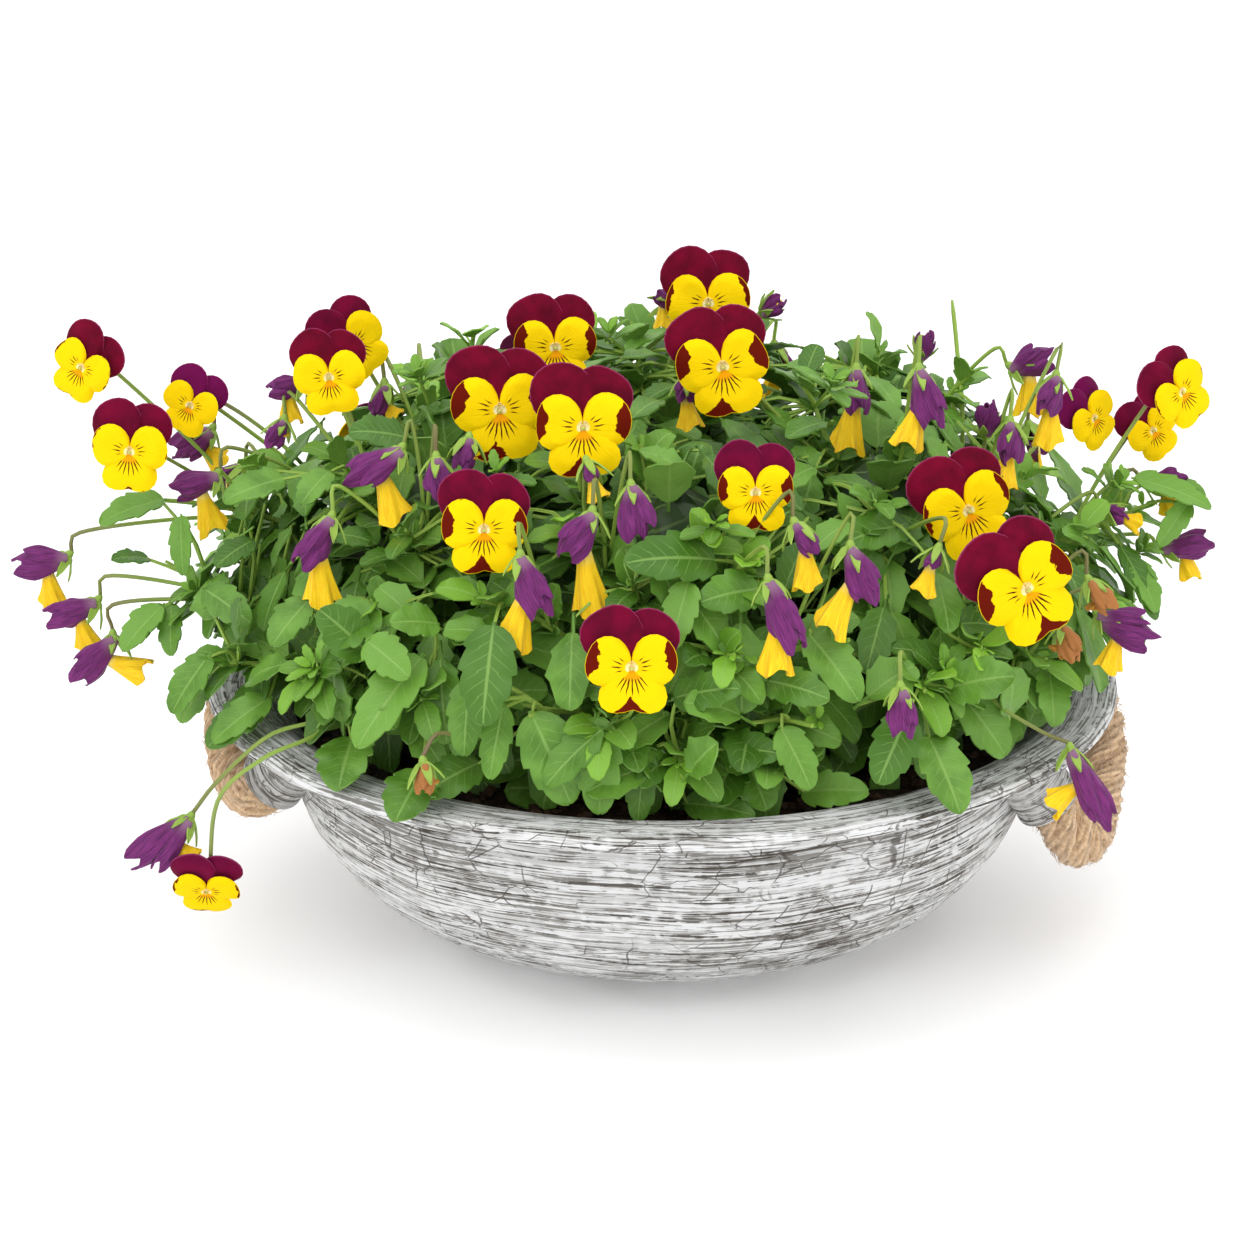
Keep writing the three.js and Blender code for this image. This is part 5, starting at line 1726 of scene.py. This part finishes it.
@dataclass
class Plant:
    """One plant: its core, shoots, leaves, stalks and folded blooms.

    Sizes are in millimetres. Stalks spring from the first points of each stem, as many as rooted says.
    """

    name: str
    shoots: list[Shoot]
    clearings: Clearings
    stem_radius: float = 1.5
    stalk_radius: float = 0.8
    heart_radius: float = 37.0
    heart_height: float = 104.0
    heart_sides: int = 18
    sepals: int = 5
    rooted: int = 30
    longest_stalk: float = 52.0
    petal_thickness: float = 0.5
    widest_fold: float = 13.5
    heart_profile: Profile = (
        (0.0, 0.16), (0.1, 0.45), (0.25, 0.66), (0.5, 0.72), (0.72, 0.6), (0.86, 0.4), (0.93, 0.1),
    )
    inner_leaves: int = 46
    green: MeshMaker = field(default_factory=MeshMaker)
    hoods: MeshMaker = field(default_factory=MeshMaker)
    skirts: MeshMaker = field(default_factory=MeshMaker)

    def grow(self) -> None:
        """Grows the core, the stems and the leaves of every shoot."""
        self.add_heart()
        for shoot in self.shoots:
            path = shoot.path
            radii = np.linspace(self.stem_radius * 1.25, self.stem_radius * 0.6, len(path))
            # Painted shade: the shoot stems get a little less light in their tone and are a touch darker
            self.green.add_tube(path, radii, 5, (0.4, 0.0, 0.6), Green.STEM)
            for i in range(shoot.leaves):
                self.add_shoot_leaf(shoot, i)

    def add_heart(self) -> None:
        """Adds the dense middle of the plant, painted dark as shade, with leaves all round it."""
        x, y = (0.98 * value for value in CROWNS[self.name])
        base = SOIL_CROWN_HEIGHT + 8
        sides = range(self.heart_sides)
        turns = full_turn(self.heart_sides)
        rings = []
        for height, radius in self.heart_profile:
            out = [self.heart_radius * radius * (0.8 + 0.4 * chance(x + k, y, height)) for k in sides]
            rise = [base + self.heart_height * (height + 0.07 * (chance(x, y + k, height) - 0.5)) for k in sides]
            rings.append(np.stack([x + out * np.cos(turns), y + out * np.sin(turns), rise], axis=1))
        places = paired(np.linspace(0, 1, len(rings))[:, None], np.linspace(-1, 1, self.heart_sides))
        # Painted shade: the core's tone gives it no light, so it takes the darkest leaf green
        self.green.add_rings(np.array(rings), places, (0.0, 0.0, 0.0, 1.0))
        middle = np.array([x, y, base + 0.5 * self.heart_height])
        size = np.array([0.62 * self.heart_radius, 0.62 * self.heart_radius, 0.4 * self.heart_height])
        for k in range(self.inner_leaves):
            level = 1 - 1.75 * (k + 0.5) / self.inner_leaves
            out = on_ball(level, k * GOLDEN_TURN + x)
            direction = unit(out + UP * (0.35 + 0.4 * chance(k, x, 51)))
            length = 30 * (0.85 + 0.35 * chance(k, y, 52))
            width = length * (0.42 + 0.08 * chance(k, x, 53))
            up = squared(UP + out * 0.5, direction)
            leaf = Leaf(middle + out * size, direction, up, length, width, 0.15 + 0.2 * chance(k, y, 54))
            # Painted shade: the core's leaves get little light in their tone and are darker, the lower ones most
            tone = (chance(k, x, 55), 0.0, 0.25 + 0.4 * max(level, 0))
            self.add_leaf(leaf, INNER_LEAF, tone, chance(k, y, 56))

    def add_leaf(self, leaf: Leaf, form: LeafForm, tone: Triple, own: float, must: bool = False) -> bool:
        """Adds a leaf unless it would hide or cross a bloom.

        Args:
            leaf: The leaf.
            form: How it is made.
            tone: Its own number, its youth and how much light it gets.
            own: The leaf's own chance value.
            must: Whether it is added in any case.

        Returns:
            True if it was added.
        """
        grid, places = form.grid(leaf, own)
        reach = np.hypot(grid[..., 0], grid[..., 1])
        in_wall = bool(((grid[..., 2] < RIM_TOP) & (reach > RIM_INNER) & (reach < RIM_OUTER)).any())
        if not must and (in_wall or self.clearings.blocked(grid[1:].reshape(-1, 3)[::2])):
            return False
        self.green.add_sheet(grid, form.thickness, places, tone)
        return True

    def add_shoot_leaf(self, shoot: Shoot, i: int) -> None:
        """Adds one leaf of a shoot with the two small lobed blades at its foot.

        Args:
            shoot: The shoot.
            i: The leaf's number.
        """
        s = shoot.number
        leaf = shoot.leaf(i)
        age = i / (shoot.leaves - 1)
        youth = max(0.0, age - 0.45) / 0.55 * (0.35 + 0.65 * chance(s, 1, 61))
        # Painted shade: the lower leaves of a shoot, deeper in the mound, get less light and are darker
        tone = (chance(s, i, 62), youth, 0.3 + 0.7 * age)
        form = YOUNG_LEAF if age > 0.7 else SMALL_LEAF if age > 0.3 else INNER_LEAF
        self.add_leaf(leaf, form, tone, chance(s, i, 63))
        if age < 0.2:
            return
        side = np.cross(leaf.direction, leaf.up)
        for sign in (-1, 1):
            direction = unit(leaf.direction * 0.7 + side * sign * 0.8 + leaf.up * 0.4)
            length = leaf.length * (0.34 + 0.14 * chance(s, i, 64 + sign))
            blade = Leaf(leaf.foot, direction, squared(leaf.up, direction), length, length * 0.34, 0.1)
            self.add_leaf(blade, STIPULE, tone, chance(s, i, 66))

    def add_canopy_leaf(self, place: Array, layer: int, k: int) -> None:
        """Adds a leaf on a long stalk at the surface of the mound, turned to the light.

        Args:
            place: The middle of the leaf.
            layer: The layer of leaves that it belongs to, 0 for the outermost.
            k: Its number in the layer.
        """
        own, turn, lift, size, spread = (chance(k, layer, use) for use in (81, 82, 83, 84, 85))
        normal = unit((place - DOME_MIDDLE) / DOME_SIZE)
        east = unit(np.cross(UP, normal))
        rise = np.cross(normal, east)
        way = toward(east, rise, 2 * math.pi * turn)
        direction = unit(way + normal * (0.15 + 0.5 * lift) - UP * 0.4)
        low = min(1.0, max(0.0, (175 - place[2]) / 60))
        length = 19 + 12 * size + 7 * low
        foot = place - direction * length * 0.5
        nearest, far = self.nearest_stem(foot)
        if far > self.longest_stalk:
            return
        up = squared(normal * 0.8 + UP * 0.7 + way * 0.4 * (own - 0.5), direction)
        leaf = Leaf(foot, direction, up, length, length * (0.36 + 0.12 * spread), 0.06 + 0.16 * size)
        # Painted shade: inner layers get less light in their tone, and the innermost one is darker
        tone = (own, 0.25 * max(0.0, spread - 0.7), 1.0 - 0.25 * layer)
        form = INNER_LEAF if layer == 2 else ROUND_LEAF if own > 0.45 else SMALL_LEAF
        if self.add_leaf(leaf, form, tone, lift):
            self.add_leaf_stalk(nearest, foot, direction)

    def nearest_stem(self, place: Array) -> tuple[Array, float]:
        """Finds the nearest point of the plant's stems to a place.

        Args:
            place: The place.

        Returns:
            The point, and how far off it is.
        """
        points = np.vstack([shoot.path[: self.rooted] for shoot in self.shoots])
        far = np.linalg.norm(points - place, axis=1)
        return points[np.argmin(far)], float(far.min())

    def add_leaf_stalk(self, stem: Array, foot: Array, direction: Array) -> None:
        """Adds the stalk of a leaf.

        Args:
            stem: Where it springs from.
            foot: The foot of the leaf.
            direction: The way that the leaf points.
        """
        sag = (stem + foot) / 2 + np.array([0, 0, 1.5]) - direction * 2
        path = smooth_curve(np.stack([stem, sag, foot + direction * 2]), 2)
        self.green.add_tube(path, np.linspace(0.9, 0.6, 5), 4, (0.3, 0.0, 0.8), Green.STEM)

    def add_large_leaf(self, row: list) -> None:
        """Adds a large leaf with its own stalk from the nearest stem.

        Args:
            row: The leaf's foot, tip and width.
        """
        foot, tip, width = point(row[0]), point(row[1]), row[2]
        length = float(np.linalg.norm(tip - foot))
        direction = (tip - foot) / length
        outward = unit(foot - MOUND_MIDDLE)
        up = squared(UP * 0.7 + outward * 0.4 + np.array([0.0, -0.6 if foot[1] < 40 else 0.6, 0.0]), direction)
        own = chance(foot[0], foot[2], 71)
        leaf = Leaf(foot, direction, up, length, width, 0.08)
        self.add_leaf(leaf, LARGE_LEAF, (own, 0.12 * own, 1.0), own, must=True)
        self.add_leaf_stalk(self.nearest_stem(foot)[0], foot, direction)

    def add_stalk(self, shoot: Shoot, end: Array, out: Array, via: list | None, cup: float, folded: bool) -> None:
        """Adds a flower stalk that hooks over at its top, with its calyx.

        Args:
            shoot: The shoot that it springs from.
            end: The front of the calyx.
            out: The way that the bloom looks.
            via: Points on the way, where the stalk has to go round something.
            cup: The radius of the calyx.
            folded: Whether the sepals clasp a folded bloom.
        """
        start, _ = shoot.at(0.72)
        back = end - out * 4
        if via:
            corners = [start, *(point(place) for place in via), back]
        else:
            hook = back - out * 5 + UP * (2.0 + 3 * max(0.0, -out[2]))
            corners = [start, (start + hook) / 2 - out * 3, hook, back]
        path = even_curve(np.array(corners), STALK_POINTS)
        radii = np.full(STALK_POINTS, self.stalk_radius)
        self.green.add_tube(path, radii, 6, (0.2, chance(end[0], end[2], 74), 1.0), Green.STEM)
        cup_path = np.array([back - out * 0.5, back + out * 0.8, end - out])
        radii = np.array([self.stalk_radius, cup * 0.45, cup * 0.6])
        self.green.add_tube(cup_path, radii, 9, (0.3, 0.1, 1.0), Green.STEM)
        first = squared(UP + np.array([0.1, 0.2, 0.0]), out)
        second = np.cross(out, first)
        forward, outward = (0.75, 0.7) if folded else (-0.15, 0.95)
        for k in range(self.sepals):
            spoke = toward(first, second, 2 * math.pi * (k + 0.5) / self.sepals)
            direction = unit(out * forward + spoke * outward)
            length = cup * (2.6 + 0.8 * chance(end[0], k, 75))
            up = squared(spoke - out * 0.3, direction)
            sepal = Leaf(end - out * 2.8 + spoke * 0.6, direction, up, length, length * 0.3, 0.02)
            grid, places = SEPAL.grid(sepal, 0.3)
            self.green.add_sheet(grid, SEPAL.thickness, places, (0.1, 0.0, 1.0), Green.STEM)

    def add_folded_petals(self, calyx: Array, purple: Array, yellow: Array, wilted: float) -> None:
        """Adds the crumpled petals of a folded bloom: a hood of purple ones over a skirt of yellow ones.

        Args:
            calyx: The front of the calyx.
            purple: How far the purple petals reach from it.
            yellow: How far the yellow petals reach from it.
            wilted: 1 where they have withered and 0 where they are fresh.
        """
        look = np.array([0.15, -1.0 if calyx[1] < 60 else 1.0, 0.3])
        inside = purple * 0.32 + yellow * 0.08
        for reach, maker, spread in ((purple, self.hoods, 0.62), (yellow - inside, self.skirts, 0.36)):
            hood = maker is self.hoods
            length = float(np.linalg.norm(reach)) + (1.0 if hood else 0.0)
            way = unit(reach)
            face = squared(look, way)
            wide = min(self.widest_fold, spread * length + (1.5 if hood else 5.0))
            own = chance(calyx[0], calyx[2], 76 if hood else 77)
            start = calyx - way * 1.5 + face * 1.2 if hood else calyx + inside - face * 0.4
            grid, places = self.folded_grid(start, way, face, length, wide, own, hood)
            maker.add_sheet(grid, self.petal_thickness, places, (own, wilted, 1.0))
            if hood and length > 9:
                flap = unit(way + np.cross(way, face) * (own - 0.5))
                foot, upper = start + face * 2.2, squared(face, flap)
                grid, places = self.folded_grid(foot, flap, upper, 0.8 * length, 0.62 * wide, 1 - own, hood)
                maker.add_sheet(grid, self.petal_thickness, places, (1 - own, wilted, 1.0))

    def folded_grid(self, foot: Array, way: Array, upper: Array, length: float, width: float,
                    own: float, hood: bool) -> tuple[Array, Array]:
        """Shapes rolled-up petals: a pleated, twisted wrap that is open at its back and ragged at its end.

        Args:
            foot: Where it springs from.
            way: Its direction.
            upper: The way that its front looks.
            length: Its length.
            width: Its width at the end.
            own: Its own chance value.
            hood: True for the purple hood, False for the yellow skirt, which flares.

        Returns:
            The grid of points, and their places along and across the petal.
        """
        along = np.linspace(0, 1, 9)[:, None]
        across = np.linspace(-1, 1, 23)[None, :]
        pleat = np.abs((across * 2.4 + 3 * own + 4) % 1 - 0.5) * 2
        lobe = 0.5 - 0.5 * np.cos(2 * math.pi * (across * 1.1 + 5 * own)) + 1.3 * np.abs(across) ** 4
        turn = across * 2.35 + (own - 0.5) * 1.8 * along
        open_up = 0.26 + 0.74 * (along**0.7 if hood else along**1.15)
        radius = width / 2 * open_up * (1 - 0.3 * along + 0.42 * along * pleat)
        if hood:
            radius = radius * (1 - 0.35 * np.maximum(0, along - 0.7) / 0.3)
        x = radius * np.sin(turn)
        z = radius * np.cos(turn) * 0.72
        y = length * along * (1 - (0.2 if hood else 0.16) * lobe * along)
        grid = foot + y[:, :, None] * way + x[:, :, None] * np.cross(way, upper) + z[:, :, None] * upper
        return grid, paired(along, across)

    def add_bare_stalk(self, corners: Array) -> None:
        """Adds a flower stalk without its bloom, from the nearest stem up.

        Args:
            corners: Points that it passes, the last one at its top.
        """
        stem, _ = self.nearest_stem(corners[0])
        path = even_curve(np.vstack([stem, corners]), STALK_POINTS)
        radii = np.append(np.full(STALK_POINTS - 1, self.stalk_radius * 1.1), 0.5)
        self.green.add_tube(path, radii, 7, (0.1, 0.0, 1.0), Green.STEM)

    def add_rosette(self, middle: Array, size: float, count: int) -> None:
        """Adds a tuft of narrow young leaves at the end of a shoot.

        Args:
            middle: The heart of the tuft.
            size: The length of its outer leaves.
            count: How many leaves it has.
        """
        outward = unit(unit(middle - MOUND_MIDDLE) + UP * 0.4)
        first = unit(np.cross(outward, [0.1, 1, 0.2]))
        second = np.cross(outward, first)
        for k in range(count):
            age = k / (count - 1)
            spoke = toward(first, second, k * GOLDEN_TURN + middle[0])
            direction = unit(spoke + outward * (0.15 + 1.3 * age))
            length = size * (1.1 - 0.6 * age) * (0.85 + 0.3 * chance(middle[0], k, 91))
            width = length * (0.3 + 0.1 * chance(middle[2], k, 92))
            up = squared(outward + UP * 0.3, direction)
            leaf = Leaf(middle - outward * 4 * (1 - age), direction, up, length, width, 0.1)
            tone = (chance(k, middle[0], 93), 0.35 + 0.4 * age, 1.0)
            self.add_leaf(leaf, YOUNG_LEAF if k % 3 else SMALL_LEAF, tone, chance(k, middle[2], 94))
        stem, _ = self.nearest_stem(middle - outward * 10)
        self.add_leaf_stalk(stem, middle - outward * 4, outward)

    def build(self, finishes: dict[str, Material]) -> None:
        """Makes the plant's greenery and its folded petals.

        Args:
            finishes: The materials by name.
        """
        greens = [finishes["leaf"], finishes["stem"]]
        self.green.make(self.name + "_greenery", self.name, "foliage", greens, crease=60)
        for maker, part, finish, slot in ((self.hoods, "_purple_petals", "purple", "maroon_petal"),
                                          (self.skirts, "_yellow_petals", "gold", "yellow_petal")):
            if maker.count:
                maker.make(self.name + part, self.name, slot, [finishes[finish]], crease=38)


@dataclass
class Planting:
    """All seven plants with every bloom, folded bloom and large leaf of the mound.

    Each layer of leaves says how large a part of the dome it lies on and how many leaves it has. Below the
    height that clears the rim, leaves stay above the soil. Sizes are in millimetres.
    """

    blooms: list[OpenBloom]
    eye: Array
    soil_reach: float = 142.0
    rim_clear: float = 104.0
    layers: tuple[tuple[float, int], ...] = ((0.93, 420), (0.83, 420), (0.72, 330))

    def add_canopy(self, plants: dict[str, Plant]) -> None:
        """Covers the mound with layers of leaves on long stalks.

        Args:
            plants: The plants by name.
        """
        for layer, (grow, count) in enumerate(self.layers):
            for k in range(count):
                out = on_ball((k + 0.5) / count, k * GOLDEN_TURN + layer)
                place = DOME_MIDDLE + out * DOME_SIZE * grow * (0.94 + 0.12 * chance(k, layer, 80))
                limit = self.soil_reach + max(0.0, place[2] - self.rim_clear)
                place[:2] *= min(1.0, limit / math.hypot(place[0], place[1]))
                plants[nearest_plant(place)].add_canopy_leaf(place, layer, k)

    def build(self, finishes: dict[str, Material]) -> None:
        """Grows the plants and makes their meshes.

        Args:
            finishes: The materials by name.
        """
        clearings = self.clearings()
        shoots = all_shoots()
        plants = {
            name: Plant(name, [shoot for shoot in shoots if shoot.plant == name], clearings) for name in CROWNS
        }
        for plant in plants.values():
            plant.grow()
        self.add_canopy(plants)
        for middle, size, count in ROSETTES:
            plants[nearest_plant(point(middle))].add_rosette(point(middle), size, count)
        for row in LARGE_LEAVES:
            plants[nearest_plant(point(row[0]))].add_large_leaf(row)
        for bloom in self.blooms:
            end = bloom.middle - bloom.out * 2.1
            shoot = self.nearest_shoot(shoots, end)
            plants[shoot.plant].add_stalk(shoot, end, bloom.out, OPEN_STALK_VIA.get(bloom.number),
                                          bloom.width / 11, False)
        for number, row in enumerate(FOLDED_BLOOMS):
            calyx, purple, yellow = (point(values) for values in row)
            shoot = self.nearest_shoot(shoots, calyx)
            plant = plants[shoot.plant]
            plant.add_stalk(shoot, calyx, unit(purple + yellow), FOLDED_STALK_VIA.get(number), 3.4, True)
            plant.add_folded_petals(calyx, purple, yellow, float(number in WILTED_BLOOMS))
        plants[nearest_plant(point(BARE_STALK[0]))].add_bare_stalk(point(BARE_STALK))
        for plant in plants.values():
            plant.build(finishes)

    def clearings(self) -> Clearings:
        """Gathers the blooms that leaves keep clear of.

        Returns:
            The clearings.
        """
        clearings = Clearings(self.eye)
        for bloom in self.blooms:
            clearings.add(bloom.middle + bloom.up * 0.12 * bloom.width, bloom.out, 0.5 * bloom.width)
        for calyx, purple, yellow in FOLDED_BLOOMS:
            reach = (point(purple) + point(yellow)) / 2
            clearings.add(point(calyx) + reach * 0.6, unit(reach), 7.5)
        return clearings

    @staticmethod
    def nearest_shoot(shoots: list[Shoot], place: Array) -> Shoot:
        """Gives the shoot whose tip is nearest to a place."""
        return min(shoots, key=lambda shoot: float(np.linalg.norm(shoot.tip - place)))


def make_finishes() -> dict[str, Material]:
    """Makes every material of the planter.

    Returns:
        The materials by name.
    """
    return {
        "whitewash": WhitewashFinish().material(),
        "soil": SoilFinish().material(),
        "jute": JuteFinish().material(),
        "leaf": LeafFinish().material(),
        "stem": StemFinish().material(),
        "maroon": MaroonFinish().material(),
        "yellow": YellowFinish().material(),
        "purple": FoldedFinish("purple_folded_petal", (0.19, 0.022, 0.16), (0.06, 0.004, 0.06),
                               (0.26, 0.13, 0.22)).material(),
        "gold": FoldedFinish("yellow_folded_petal", (0.96, 0.66, 0.01), (0.88, 0.45, 0.003),
                             (0.85, 0.76, 0.3)).material(),
        "beard": PlainFinish("cream_beard", (0.9, 0.78, 0.42), (0.85, 0.6, 0.2)).material(),
        "stigma": PlainFinish("green_stigma", (0.62, 0.66, 0.16), (0.45, 0.5, 0.08)).material(),
    }


def main() -> None:
    """Builds the planter and its studio, and reports each piece."""
    logging.basicConfig(level=logging.INFO, format="%(message)s")
    studio = Studio()
    studio.build()
    finishes = make_finishes()
    for name in ROPE_ROUTES:
        RopeHandle(name).build(finishes["jute"])
    Bowl().build(finishes["whitewash"])
    Soil().build(finishes["soil"])
    blooms = [
        OpenBloom(number, point(middle), width, yaw, pitch, roll)
        for number, (middle, width, yaw, pitch, roll) in enumerate(OPEN_BLOOMS)
    ]
    for bloom in blooms:
        bloom.build(finishes["maroon"], finishes["yellow"], finishes["beard"], finishes["stigma"])
    Planting(blooms, point(studio.eye)).build(finishes)


if __name__ == "__main__":
    main()
